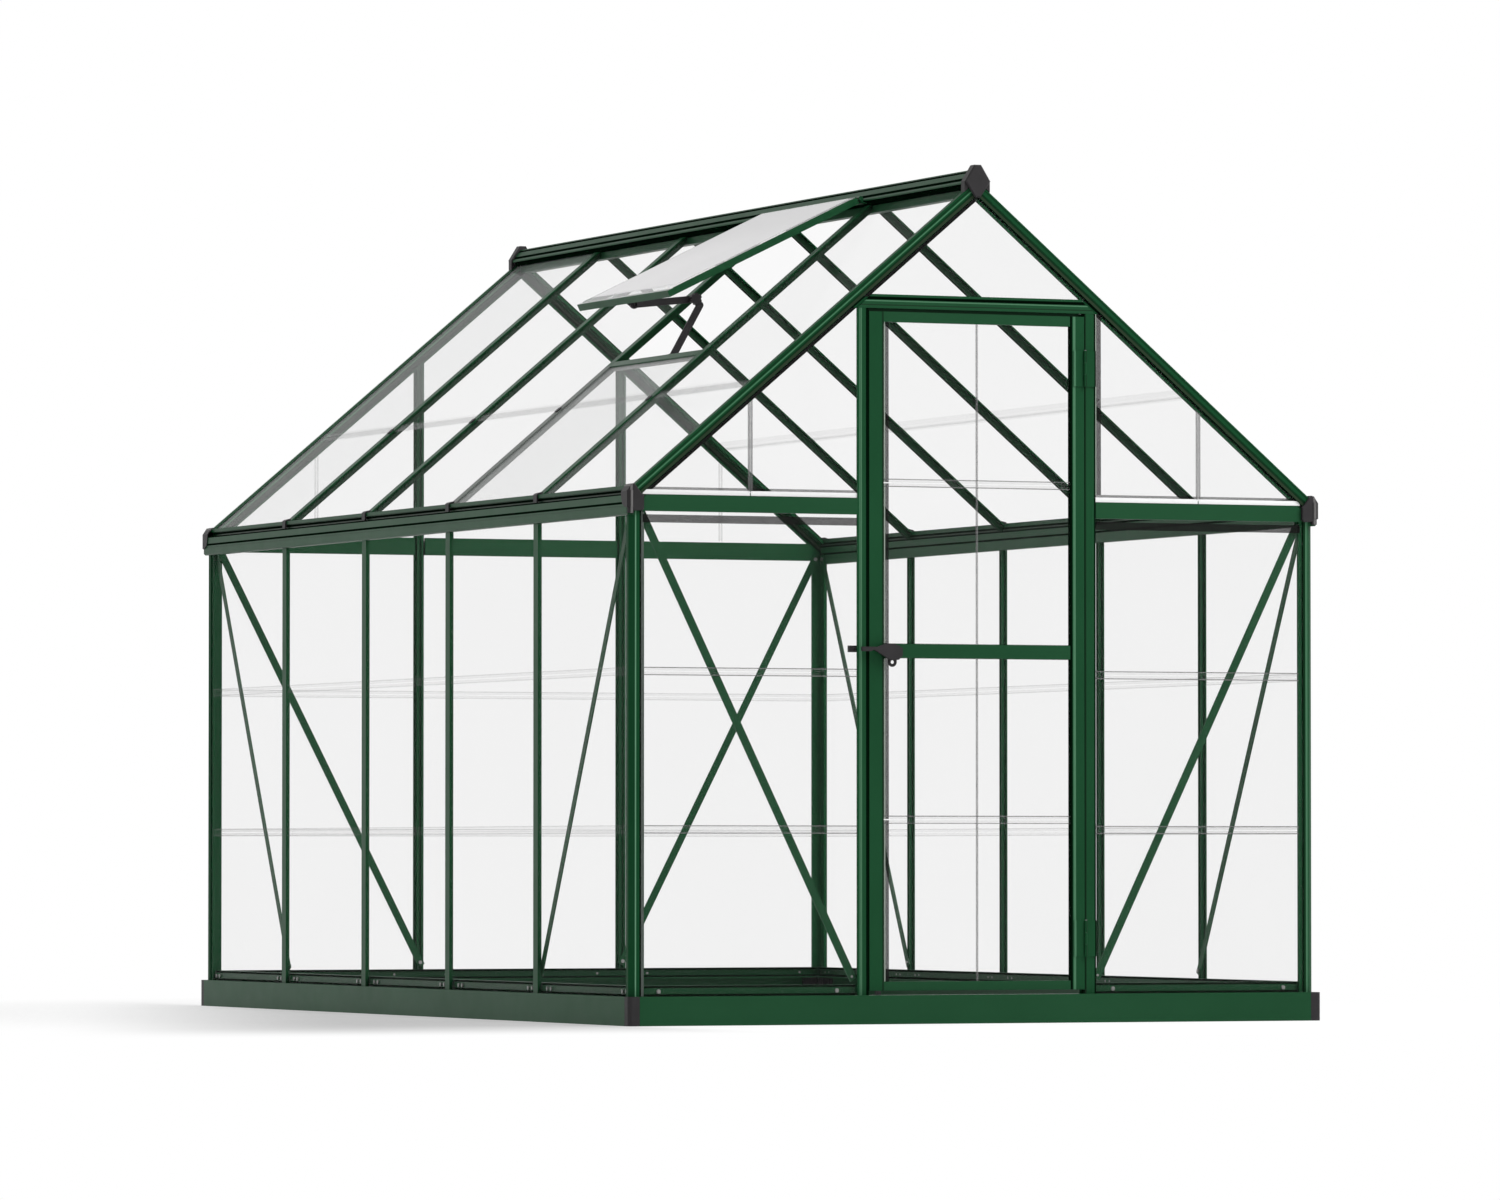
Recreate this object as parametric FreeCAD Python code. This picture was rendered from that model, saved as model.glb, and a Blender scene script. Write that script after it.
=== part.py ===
import FreeCAD, Part
import math
import os
from FreeCAD import Vector

os.makedirs("parts", exist_ok=True)

# Overall size in millimetres: X across the door wall, Y from the door to the back, Z up
base_width = 1850.0
base_length = 3060.0
eave_height = 1285.0
roof_pitch = 40.0
bay_pitch = 600.0
side_inset = 11.0
end_inset = 19.5

# Tolerance for picking a shape's edges by their place
edge_match = 0.01

# Glazing
pane_thickness = 1.2
pane_clearance = 0.25
pane_edge_gap = 0.5
seat_gap = 0.3
flange_thickness = 3.0
joiner_height = 20.0
gable_joiner_width = 12.0
roof_joiner_width = 36.0
joiner_face = 1.0
joiner_web = 2.0
upper_seam_drop = 436.0
seam_spacing = 379.0
roof_seam_distance = 782.0
gable_seam_x = 600.0

# Base
base_height = 70.0
base_depth = 50.0
base_wall = 2.5
corner_leg = 28.0
corner_round = 10.0
tongue_length = 40.0
tongue_thickness = 12.0

# Corner posts and gable rafters share one kind of angle section
post_flange = 26.0
post_lip = 38.0
post_core = 12.0
post_chamfer = 12.0
section_step = 15.0
section_step_drop = 1.2
rafter_flange = 28.0
rafter_lip = 38.0
rafter_core = 18.0
rafter_top_flange = 26.0
rafter_top_lip = 34.0
rafter_top_core = 14.0
rafter_chamfer = 2.0

# Glazing bars
bar_flange = 30.0
bar_neck = 10.0
bar_inner = 16.0
bar_slot = 10.0
bar_slot_floor = 2.0
wall_bar_depth = 13.0
roof_bar_depth = 19.0
back_bar_x = 300.0

# Sills
sill_depth = 15.0
sill_height = 26.0
sill_wall = 2.5
bolt_head_radius = 5.0
bolt_head_height = 3.5
bolt_shank_radius = 3.0
bolt_clearance = 0.1
sill_bolt_near = 50.0
sill_bolt_far = 75.0
sill_bolt_height = 12.0

# Gutter beam
gutter_reach = 9.0
gutter_depth = 62.0
gutter_wall = 2.5
gutter_trough_floor = 37.0
gutter_front_top = 12.0
gutter_ledge = 13.0
gutter_slot_in = 7.0
gutter_lip_out = 2.0
gutter_lip_in = 9.0
gutter_lip_high = 9.0
gutter_groove = 8.0
gutter_line_low = 43.0
gutter_line_high = 40.5
gutter_line_depth = 1.0
gutter_cavity_width = 6.0
gutter_cavity_height = 19.0

# Gutter end caps
end_cap_thickness = 9.0
end_cap_border = 2.5
end_cap_chamfer = 2.0
end_cap_inward = 33.0
end_cap_corner = 4.5
end_cap_foot = 52.5
end_cap_toe = 6.0
end_cap_shoulder = 11.5
end_cap_peak_in = 8.0
end_cap_side_high = 6.0
end_cap_side_low = 44.0
end_cap_rib_radius = 9.2
end_cap_rib_centre = 3.0
end_cap_rib_set = 2.3
end_cap_toe_radius = 7.7
end_cap_toe_set = 0.9
end_cap_rib_top = 4.0
end_cap_rib_foot = 58.5
end_cap_skirt = 24.0
end_cap_skirt_foot = 6.0
end_cap_skirt_bend = 36.0
end_cap_skirt_high = 15.0
end_cap_hood = 31.0
end_cap_hood_wall = 2.2
end_cap_hood_peak = 11.5
end_cap_hood_rise = 1.7

# Ridge
ridge_top_half = 7.0
ridge_wing_half = 31.0
ridge_rise = 27.5
ridge_slot_half = 22.0
ridge_slot_height = 17.0
ridge_nose = 4.0
ridge_groove = 3.0
ridge_upper_line = 0.1
ridge_lower_line = 0.63
ridge_web_half = 12.0
ridge_web_depth = 37.6
ridge_wall = 1.8
ridge_cap_border = 3.0
ridge_cap_peak = 11.0
ridge_cap_peak_half = 9.0
ridge_cap_foot_half = 7.0
ridge_cap_plate = 6.0
ridge_cap_reach = 20.0
ridge_cap_drop = 42.0
ridge_cap_chamfer = 3.0

# Eave ties
tie_drop = 13.3
tie_height = 39.2
tie_neck_inset = 8.0
tie_inner_rise = 8.3
tie_depth = 13.0

# Braces
brace_width = 20.0
brace_thickness = 3.0
brace_inset = 31.0
brace_top_rise = 14.0
brace_foot_height = 45.0
front_brace_foot_offset = 10.0

# Clips on the roof bars
clip_width = 22.0
clip_length = 16.0
clip_thickness = 4.0
clip_drop = 11.0
clip_reach = 14.0
clip_rise = 3.5
seam_clip_width = 16.0
seam_clip_height = 2.5

# Door opening
door_post_x = 319.0
door_post_width = 29.0
door_post_depth = 22.0
door_post_core = 10.0
door_post_lip = 8.0
door_post_step = 8.0
door_stop = 8.0
door_section_wall = 2.5
header_face = 34.0
header_body = 27.0
header_line_low = 20.0
header_line_high = 25.0
header_line_depth = 2.4

# Door
door_gap = 2.0
door_depth = 18.0
door_lip_depth = 13.0
door_foot_gap = 10.5
door_head_gap = 8.0
stile_width = 38.0
stile_core = 28.0
stile_body = 24.0
rail_groove = 9.0
top_rail_height = 25.0
mid_rail_height = 34.0
bottom_rail_height = 22.0
door_joiner_width = 8.0
catch_width = 10.0
catch_offset = 20.0

# Door hinges
hinge_height = 88.0
hinge_knuckle = 28.0
hinge_barrel_radius = 3.6
hinge_pin_radius = 1.8
hinge_stand_off = 4.2
hinge_leaf_thickness = 2.0
hinge_leaf_width = 26.0
hinge_pin_head_radius = 3.0
hinge_pin_head = 1.5
lower_hinge_rise = 124.5
upper_hinge_drop = 127.0
running_clearance = 0.05

# Door handle, its lever drawn by distances from the spindle
handle_x = 228.0
spindle_radius = 4.0
handle_boss_radius = 13.0
handle_stand_off = 8.0
handle_thickness = 8.0
handle_length = 85.0
handle_tip_high = 9.0
handle_tip_low = 2.0
handle_bend = 62.0
handle_neck = 54.0
handle_fan_start = 44.0
handle_fan_high = 16.8
handle_fan_high_in = 23.0
handle_fan_low = 22.3
handle_fan_low_half = 11.2
handle_fan_side = 21.7
handle_fan_side_low = 11.8
handle_fan_side_high = 6.7
inner_lever_length = 46.0
inner_lever_gap = 2.0
inner_root_half = 8.0
inner_tip_half = 4.0
plate_thickness = 2.5
plate_half_width = 20.0
plate_half_height = 13.0
eye_drop = 27.5
eye_radius = 4.5
eye_border = 7.0
keeper_width = 26.0
keeper_height = 16.0
keeper_thickness = 6.0
keeper_drop = 4.0

# Roof vent, set open as in the photograph
vent_open = 14.2
vent_sill_distance = 605.0
vent_sill_width = 20.0
vent_sill_depth = 16.0
vent_sill_groove = 9.0
vent_side_gap = 2.0
vent_depth = 18.0
vent_rail_width = 18.0
vent_rail_wall = 2.0
vent_overlap = 4.0
hinge_bead_radius = 4.0
hinge_bead_distance = 30.0
hinge_bead_height = 23.3
hinge_socket_wall = 2.4
hinge_tongue = 5.0
hinge_neck = 2.4
hinge_neck_length = 10.0
vent_top_rail_width = 16.0
socket_open_low = 32.0
socket_open_high = 56.0

# Vent stay
stay_offset = 30.0
stay_sill_distance = 566.0
stay_sill_depth = 32.0
stay_vent_distance = 572.0
stay_vent_depth = 1.0
stay_lower_length = 158.0
stay_upper_length = 162.0
stay_kink_out = 16.0
stay_kink_drop = 15.0
stay_thickness = 5.0
stay_half_width = 9.0
stay_end_radius = 10.0
stay_layer_gap = 0.4
stay_pin_radius = 2.5
stay_open_pivot_clearance = 4.3
stay_open_pivot_wall = 4.2
ear_thickness = 4.4
bracket_width = 22.0
knob_radius = 15.0
knob_length = 14.0
knob_flute_radius = 3.0
knob_stud = 9.0

# Planes that the pieces share
side_x = base_width / 2 - side_inset
end_y = base_length / 2 - end_inset
slope_sin = math.sin(math.radians(roof_pitch))
slope_cos = math.cos(math.radians(roof_pitch))
slope_tan = slope_sin / slope_cos
apex_height = eave_height + side_x * slope_tan
groove_width = pane_thickness + 2 * pane_clearance
groove_back = flange_thickness + groove_width
pane_front = flange_thickness + pane_clearance
pane_back = pane_front + pane_thickness
gutter_bottom = eave_height - gutter_depth
beam_inner_x = side_x - wall_bar_depth
lip_x = side_x - gutter_lip_in
rafter_end_x = beam_inner_x - seat_gap
bar_end_x = lip_x - seat_gap
sill_front = wall_bar_depth + seat_gap
sill_back = sill_front + sill_depth
bar_rows = [-1.5 * bay_pitch, -0.5 * bay_pitch, 0.5 * bay_pitch, 1.5 * bay_pitch]


def prism(points, sweep):
    outline = Part.makePolygon(points + [points[0]])
    return Part.Face(outline).extrude(sweep)


def block(x0, x1, y0, y1, z0, z1):
    return Part.makeBox(x1 - x0, y1 - y0, z1 - z0, Vector(x0, y0, z0))


def rod(centre, radius, sweep):
    return Part.makeCylinder(radius, sweep.Length, centre, sweep)


def fuse(shapes):
    return shapes[0].multiFuse(shapes[1:]).removeSplitter()


def mirror_x(shape):
    return shape.mirror(Vector(0, 0, 0), Vector(1, 0, 0))


def mirror_y(shape):
    return shape.mirror(Vector(0, 0, 0), Vector(0, 1, 0))


def both_sides(shapes):
    return shapes + [mirror_x(shape) for shape in shapes]


def both_ends(shapes):
    return shapes + [mirror_y(shape) for shape in shapes]


def four_corners(shapes):
    return both_ends(both_sides(shapes))


def save(node, solids):
    parts = [solid for shape in solids for solid in shape.Solids]
    Part.makeCompound(parts).exportStep("parts/" + node + ".step")


# Height of a line that lies a given depth inside the roof's outer face
def roof_height(x, depth):
    return apex_height - slope_tan * abs(x) - depth / slope_cos


def roof_x(height, depth):
    return (apex_height - depth / slope_cos - height) / slope_tan


# The header runs where the rafters' lips reach the door posts, and the door is hung below it
rafter_under = rafter_lip + seat_gap
header_height = roof_height(door_post_x, rafter_under)
door_half = door_post_x - door_post_width - door_gap
door_low = base_height + door_foot_gap
door_high = header_height - door_head_gap
mid_rail_centre = (door_low + door_high) / 2
upper_seam_height = eave_height - upper_seam_drop
lower_seam_height = upper_seam_height - seam_spacing


# Points on the left wall and the front wall, by depth inside the wall's outer face
def left_point(depth, y, z):
    return Vector(depth - side_x, y, z)


def front_point(x, depth, z):
    return Vector(x, depth - end_y, z)


# Points on the left slope: distance down from the apex, Y, and depth inside the outer face
def slope_point(distance, y, depth):
    x = depth * slope_sin - distance * slope_cos
    return Vector(x, y, apex_height - distance * slope_sin - depth * slope_cos)


def slope_prism(points, y0, y1):
    return prism([slope_point(s, y0, n) for s, n in points], Vector(0, y1 - y0, 0))


def slope_block(s0, s1, y0, y1, n0, n1):
    return slope_prism([(s0, n0), (s1, n0), (s1, n1), (s0, n1)], y0, y1)


def front_pane(outline):
    return prism([front_point(x, pane_front, z) for x, z in outline], Vector(0, pane_thickness, 0))


# Base rails: a channel that opens inwards, its flanges mitred at the corners
def base_rail(half_length, place):
    run = half_length - corner_leg - seat_gap
    back = half_length - base_depth - seat_gap
    plan = [
        (0, -run), (corner_leg, -run), (base_depth, -back),
        (base_depth, back), (corner_leg, run), (0, run),
    ]
    web = [(0, -run), (base_wall, -run), (base_wall, run), (0, run)]
    lower = prism([place(a, t, 0) for a, t in plan], Vector(0, 0, base_wall))
    upper = prism([place(a, t, base_height - base_wall) for a, t in plan], Vector(0, 0, base_wall))
    face = prism([place(a, t, 0) for a, t in web], Vector(0, 0, base_height))
    return fuse([face, lower, upper])


def base_left(a, t, z):
    return Vector(a - base_width / 2, t, z)


def base_front(a, t, z):
    return Vector(t, a - base_length / 2, z)


base_rail_left = base_rail(base_length / 2, base_left)
base_rail_front = base_rail(base_width / 2, base_front)
save("base_rail_left", [base_rail_left])
save("base_rail_right", [mirror_x(base_rail_left)])
save("base_rail_front", [base_rail_front])
save("base_rail_back", [mirror_y(base_rail_front)])

# Base corners: a rounded block with a tongue into each rail
corner_x = -base_width / 2
corner_y = -base_length / 2
corner = block(corner_x, corner_x + corner_leg, corner_y, corner_y + corner_leg, 0, base_height)
side_edges = [e for e in corner.Edges if e.BoundBox.XMax < corner_x + edge_match]
corner = corner.makeFillet(corner_round, [e for e in side_edges if e.BoundBox.YMax < corner_y + edge_match])
tongue_in = base_wall + seat_gap
tongue_out = tongue_in + tongue_thickness
tongue_end = corner_leg + tongue_length
tongue_low = base_wall + seat_gap
tongue_high = base_height - base_wall - seat_gap
side_tongue = block(
    corner_x + tongue_in, corner_x + tongue_out, corner_y + corner_leg, corner_y + tongue_end,
    tongue_low, tongue_high,
)
end_tongue = block(
    corner_x + corner_leg, corner_x + tongue_end, corner_y + tongue_in, corner_y + tongue_out,
    tongue_low, tongue_high,
)
save("base_corners", four_corners([fuse([corner, side_tongue, end_tongue])]))


# Angle section: two outer flanges with a step, a groove for a pane behind each, and a lip behind each groove
def angle_section(flange_a, flange_b, lip_a, lip_b, core_a, core_b, chamfer):
    step = section_step
    drop = section_step_drop
    deep = wall_bar_depth
    return [
        (chamfer, 0), (step, 0), (step + drop, drop), (flange_a, drop), (flange_a, flange_thickness),
        (core_a, flange_thickness), (core_a, groove_back), (lip_a, groove_back), (lip_a, deep), (deep, deep),
        (deep, lip_b), (groove_back, lip_b), (groove_back, core_b), (flange_thickness, core_b),
        (flange_thickness, flange_b), (drop, flange_b), (drop, step + drop), (0, step), (0, chamfer),
    ]


def post_prism(outline, low, high):
    return prism([Vector(a - side_x, b - end_y, low) for a, b in outline], Vector(0, 0, high - low))


# The space under the gable rafters' lips, which trims the upright pieces of the end walls
gable_reach = side_x + base_depth
gable_space = prism(
    [
        Vector(-gable_reach, -end_y, 0), Vector(gable_reach, -end_y, 0),
        Vector(gable_reach, -end_y, roof_height(gable_reach, rafter_under)),
        Vector(0, -end_y, roof_height(0, rafter_under)),
        Vector(-gable_reach, -end_y, roof_height(gable_reach, rafter_under)),
    ],
    Vector(0, base_depth, 0),
)

# Corner posts stand under the gutter, and their end-wall flange and lip run on up beside it
post_outline = angle_section(
    post_flange, post_flange, post_lip, post_lip, post_core, post_core, post_chamfer
)
beside = wall_bar_depth + seat_gap
upper_flange_outline = [
    (beside, 0), (section_step, 0), (section_step + section_step_drop, section_step_drop),
    (post_flange, section_step_drop), (post_flange, flange_thickness), (beside, flange_thickness),
]
upper_lip_outline = [
    (beside, groove_back), (post_lip, groove_back), (post_lip, wall_bar_depth), (beside, wall_bar_depth),
]
post = post_prism(post_outline, base_height, gutter_bottom)
upper_flange = post_prism(upper_flange_outline, gutter_bottom - flange_thickness, apex_height)
upper_lip = post_prism(upper_lip_outline, gutter_bottom - flange_thickness, apex_height)
post = fuse([post, upper_flange.common(gable_space), upper_lip.common(gable_space)])
save("corner_posts", four_corners([post]))


# Glazing bar section across its width w and its depth
def bar_outline(depth):
    flange = bar_flange / 2
    neck = bar_neck / 2
    inner = bar_inner / 2
    slot = bar_slot / 2
    floor = groove_back + bar_slot_floor
    return [
        (-flange, 0), (flange, 0), (flange, flange_thickness), (neck, flange_thickness),
        (neck, groove_back), (inner, groove_back), (inner, depth), (slot, depth), (slot, floor),
        (-slot, floor), (-slot, depth), (-inner, depth), (-inner, groove_back), (-neck, groove_back),
        (-neck, flange_thickness), (-flange, flange_thickness),
    ]


wall_bar_sweep = Vector(0, 0, gutter_bottom - base_height)
left_bars = []
for y in bar_rows:
    points = [left_point(d, y + w, base_height) for w, d in bar_outline(wall_bar_depth)]
    left_bars.append(prism(points, wall_bar_sweep))
save("side_wall_bars", both_sides(left_bars))

# Back wall bars
full_rise = Vector(0, 0, apex_height - base_height)
back_bar_points = [front_point(w - back_bar_x, d, base_height) for w, d in bar_outline(wall_bar_depth)]
back_bar = mirror_y(prism(back_bar_points, full_rise).common(gable_space))
save("back_wall_bars", both_sides([back_bar]))

# Door posts: flange outside, pane groove on the far side, stop behind the door
post_in = door_post_width
stop_front = door_depth + 2 * seat_gap
door_post_outline = [
    (0, section_step_drop), (door_post_step, section_step_drop), (door_post_step + section_step_drop, 0),
    (post_in, 0), (post_in, stop_front), (post_in + door_stop, stop_front),
    (post_in + door_stop, door_post_depth), (door_post_lip, door_post_depth), (door_post_lip, wall_bar_depth),
    (0, groove_back + door_section_wall), (0, groove_back), (door_post_core, groove_back),
    (door_post_core, flange_thickness), (0, flange_thickness),
]
door_post_points = [front_point(p - door_post_x, d, base_height) for p, d in door_post_outline]
door_post_sweep = Vector(0, 0, header_height - base_height - seat_gap)
post_hollow_outline = [
    (door_post_core + door_section_wall, groove_back), (post_in - door_section_wall, groove_back),
    (post_in - door_section_wall, door_post_depth - door_section_wall),
    (door_post_core + door_section_wall, door_post_depth - door_section_wall),
]
post_hollow_points = [front_point(p - door_post_x, d, base_height) for p, d in post_hollow_outline]
post_hollow = prism(post_hollow_points, door_post_sweep)
door_post = prism(door_post_points, door_post_sweep).cut(post_hollow).common(gable_space)
save("door_posts", both_sides([door_post]))

# Header over the door, its ends cut along the rafters, with a stop behind the door's top
header_top = header_height + header_face
line_low = header_height + header_line_low
line_high = header_height + header_line_high
header_outline = [
    (0, header_height), (0, line_low), (header_line_depth, line_low), (header_line_depth, line_high),
    (0, line_high), (0, header_top), (flange_thickness, header_top),
    (flange_thickness, header_height + header_body), (groove_back, header_height + header_body),
    (groove_back, header_top), (door_post_depth, header_top), (door_post_depth, header_height),
]
header_reach = door_post_x + door_post_width
header_points = [front_point(-header_reach, d, z) for d, z in header_outline]
header = prism(header_points, Vector(2 * header_reach, 0, 0)).common(gable_space)
stop_half = door_half + door_gap - door_stop - seat_gap
head_stop = block(
    -stop_half, stop_half, stop_front - end_y, door_post_depth - end_y,
    door_high - door_stop, header_height + header_body,
)
save("door_header", [fuse([header, head_stop])])


# Sills stand on the base behind the bars and are held by bolts
def sill_section():
    return [
        (sill_front, 0), (sill_back, 0), (sill_back, sill_wall), (sill_front + sill_wall, sill_wall),
        (sill_front + sill_wall, sill_height - sill_wall), (sill_back, sill_height - sill_wall),
        (sill_back, sill_height), (sill_front, sill_height),
    ]


def sill_bolt(centre, inward):
    head_start = centre - inward * bolt_head_height
    head = rod(head_start, bolt_head_radius, inward * bolt_head_height)
    shank = rod(centre, bolt_shank_radius, inward * sill_wall)
    return fuse([head, shank])


def drilled(shape, centres, inward, depth):
    holes = [rod(c - inward, bolt_shank_radius + bolt_clearance, inward * (depth + 2)) for c in centres]
    return shape.cut(Part.makeCompound(holes))


bolt_z = base_height + sill_bolt_height
side_sill_half = end_y - wall_bar_depth - seat_gap
side_stops = [-end_y] + bar_rows + [end_y]
side_bolt_rows = []
for near, far in zip(side_stops[:-1], side_stops[1:]):
    side_bolt_rows += [near + sill_bolt_near, near + sill_bolt_far, far - sill_bolt_far, far - sill_bolt_near]
side_bolt_centres = [left_point(sill_front, y, bolt_z) for y in side_bolt_rows]
side_sill_points = [left_point(d, -side_sill_half, base_height + z) for d, z in sill_section()]
side_sill = prism(side_sill_points, Vector(0, 2 * side_sill_half, 0))
side_sill = drilled(side_sill, side_bolt_centres, Vector(1, 0, 0), sill_wall)
side_bolts = [sill_bolt(c, Vector(1, 0, 0)) for c in side_bolt_centres]
end_sill_x = side_x - sill_back - seat_gap
front_sill_end = door_post_x + seat_gap
front_bolt_columns = [front_sill_end + sill_bolt_near, end_sill_x - sill_bolt_near]
front_bolt_centres = [front_point(-x, sill_front, bolt_z) for x in front_bolt_columns]
front_sill_points = [front_point(-end_sill_x, d, base_height + z) for d, z in sill_section()]
front_sill = prism(front_sill_points, Vector(end_sill_x - front_sill_end, 0, 0))
front_sill = drilled(front_sill, front_bolt_centres, Vector(0, 1, 0), sill_wall)
front_bolts = [sill_bolt(c, Vector(0, 1, 0)) for c in front_bolt_centres]
back_columns = [back_bar_x - sill_bolt_far, back_bar_x + sill_bolt_far, end_sill_x - sill_bolt_near]
back_bolt_centres = [front_point(x * side, sill_front, bolt_z) for x in back_columns for side in (-1, 1)]
back_sill_points = [front_point(-end_sill_x, d, base_height + z) for d, z in sill_section()]
back_sill = prism(back_sill_points, Vector(2 * end_sill_x, 0, 0))
back_sill = drilled(back_sill, back_bolt_centres, Vector(0, 1, 0), sill_wall)
back_bolts = [sill_bolt(c, Vector(0, 1, 0)) for c in back_bolt_centres]
save("side_sills", both_sides([side_sill]))
save("end_sills", both_sides([front_sill]) + [mirror_y(back_sill)])
save("sill_bolts", both_sides(side_bolts + front_bolts) + [mirror_y(bolt) for bolt in back_bolts])

# Gutter beam along each eave: a trough outside, a lip above it, a groove below for the wall panes
bar_rise = (roof_bar_depth + seat_gap) / slope_cos
lip_shoulder = gutter_lip_in * slope_tan - bar_rise
inner_shoulder = wall_bar_depth * slope_tan - bar_rise
gutter_front = gutter_reach - gutter_wall
gutter_line = gutter_reach - gutter_line_depth
gutter_outline = [
    (-wall_bar_depth, -gutter_depth), (-groove_back, -gutter_depth),
    (-groove_back, gutter_groove - gutter_depth), (-flange_thickness, gutter_groove - gutter_depth),
    (-flange_thickness, -gutter_depth),
    (gutter_reach - flange_thickness, -gutter_depth), (gutter_reach, flange_thickness - gutter_depth),
    (gutter_reach, -gutter_line_low), (gutter_line, -gutter_line_low), (gutter_line, -gutter_line_high),
    (gutter_reach, -gutter_line_high), (gutter_reach, -gutter_front_top), (gutter_front, -gutter_front_top),
    (gutter_front, -gutter_trough_floor), (0, -gutter_trough_floor), (0, -gutter_ledge),
    (-gutter_slot_in, -gutter_ledge), (-gutter_slot_in, 0), (-gutter_lip_out, 0),
    (-gutter_lip_out, gutter_lip_high), (-gutter_lip_in, gutter_lip_high),
    (-gutter_lip_in, lip_shoulder), (-wall_bar_depth, inner_shoulder),
]


def gutter_prism(outline, y0, y1):
    return prism([Vector(-side_x - o, y0, eave_height + h) for o, h in outline], Vector(0, y1 - y0, 0))


gutter = gutter_prism(gutter_outline, -end_y, end_y)
cavity_low = gutter_bottom + flange_thickness
cavity_high = cavity_low + gutter_cavity_height
cavity = block(-side_x - gutter_cavity_width, -side_x, -end_y, end_y, cavity_low, cavity_high)
web_cavity_out = -side_x + flange_thickness
web_cavity_in = -beam_inner_x - gutter_wall
web_cavity_low = gutter_bottom + gutter_groove + gutter_wall
web_cavity_high = eave_height + lip_shoulder - gutter_wall
web_cavity = block(web_cavity_out, web_cavity_in, -end_y, end_y, web_cavity_low, web_cavity_high)
gutter = gutter.cut(cavity).cut(web_cavity)
save("gutter_left", [gutter])
save("gutter_right", [mirror_x(gutter)])

# Black end caps: a plate over the gutter's end and the rafter's foot, an upright rib, and a hood over the lip
cap_out = gutter_reach + end_cap_border
hood_top = end_cap_hood_peak + end_cap_hood_rise
cap_outline = [
    (cap_out, -end_cap_side_low), (cap_out, -end_cap_side_high), (0, end_cap_hood_peak),
    (-end_cap_peak_in, hood_top), (end_cap_toe - end_cap_inward, -end_cap_shoulder),
    (-end_cap_inward, -end_cap_shoulder - end_cap_corner),
    (-end_cap_inward, end_cap_corner - end_cap_foot), (end_cap_corner - end_cap_inward, -end_cap_foot),
    (-end_cap_toe, -end_cap_foot),
]
cap_start = -end_y - seat_gap
cap_face = cap_start - end_cap_thickness
cap = gutter_prism(cap_outline, cap_start, cap_face)
cap = cap.makeChamfer(end_cap_chamfer, [e for e in cap.Edges if e.BoundBox.YMax < cap_face + edge_match])


def cap_rib(radius, set_out, top, foot):
    centre = Vector(-side_x - set_out, cap_start - end_cap_rib_centre, eave_height - foot)
    return rod(centre, radius, Vector(0, 0, foot - top))


rib = cap_rib(end_cap_rib_radius, end_cap_rib_set, end_cap_rib_top, end_cap_side_low)
toe = cap_rib(end_cap_toe_radius, end_cap_toe_set, end_cap_side_low, end_cap_rib_foot)
ahead = block(-base_width, 0, -base_length, cap_start, 0, apex_height)
skirt_near = cap_face + end_cap_chamfer
skirt_outline = [
    (skirt_near, -end_cap_skirt_high), (cap_start + end_cap_hood, -end_cap_skirt_high),
    (cap_start + end_cap_skirt, -end_cap_skirt_bend), (cap_start + end_cap_skirt_foot, -end_cap_side_low),
    (skirt_near, -end_cap_side_low),
]
hood_in = cap_out - end_cap_hood_wall
hood_edge = seat_gap - gutter_lip_out
hood_outline = [
    (cap_out, -end_cap_skirt_high), (cap_out, -end_cap_side_high), (0, end_cap_hood_peak),
    (-end_cap_peak_in, hood_top), (-end_cap_peak_in, hood_top - end_cap_hood_wall),
    (hood_edge, gutter_lip_high + seat_gap), (hood_in, -end_cap_side_high), (hood_in, -end_cap_skirt_high),
]
skirt_points = [Vector(-side_x - cap_out, y, eave_height + h) for y, h in skirt_outline]
skirt = prism(skirt_points, Vector(end_cap_border - seat_gap, 0, 0))
hood = gutter_prism(hood_outline, cap_start - end_cap_hood_wall, cap_start + end_cap_hood)
cap = fuse([cap, rib.common(ahead), toe.common(ahead), skirt, hood])
save("gutter_end_caps", four_corners([cap]))

# Ridge beam: a capping with two grooves and an undercut along each side, and a web that carries the roof bars
ridge_top = apex_height + ridge_rise
wing_low = roof_height(ridge_wing_half, -seat_gap)
nose_low = wing_low + ridge_slot_height
nose_high = nose_low + ridge_nose
slot_foot = roof_height(ridge_slot_half, -seat_gap)
web_top = roof_height(ridge_web_half, -seat_gap)
web_foot = apex_height - ridge_web_depth
ridge_lean = (ridge_wing_half - ridge_top_half) / (ridge_top - nose_high)


def ridge_side_x(z):
    return ridge_top_half + ridge_lean * (ridge_top - z)


def ridge_line(share):
    high = ridge_top - share * (ridge_top - nose_high)
    low = high - ridge_groove
    return [
        (ridge_side_x(high), high), (ridge_side_x(high) - ridge_groove, high),
        (ridge_side_x(low) - ridge_groove, low), (ridge_side_x(low), low),
    ]


ridge_side = [(ridge_top_half, ridge_top)] + ridge_line(ridge_upper_line) + ridge_line(ridge_lower_line) + [
    (ridge_wing_half, nose_high), (ridge_wing_half, nose_low),
    (ridge_slot_half, nose_low), (ridge_slot_half, slot_foot),
]
web_side = [(ridge_web_half, web_top), (ridge_web_half, web_foot)]


def symmetric(side, y):
    right = [Vector(x, y, z) for x, z in side]
    left = [Vector(-x, y, z) for x, z in reversed(side) if x > 0]
    return right + left


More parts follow.
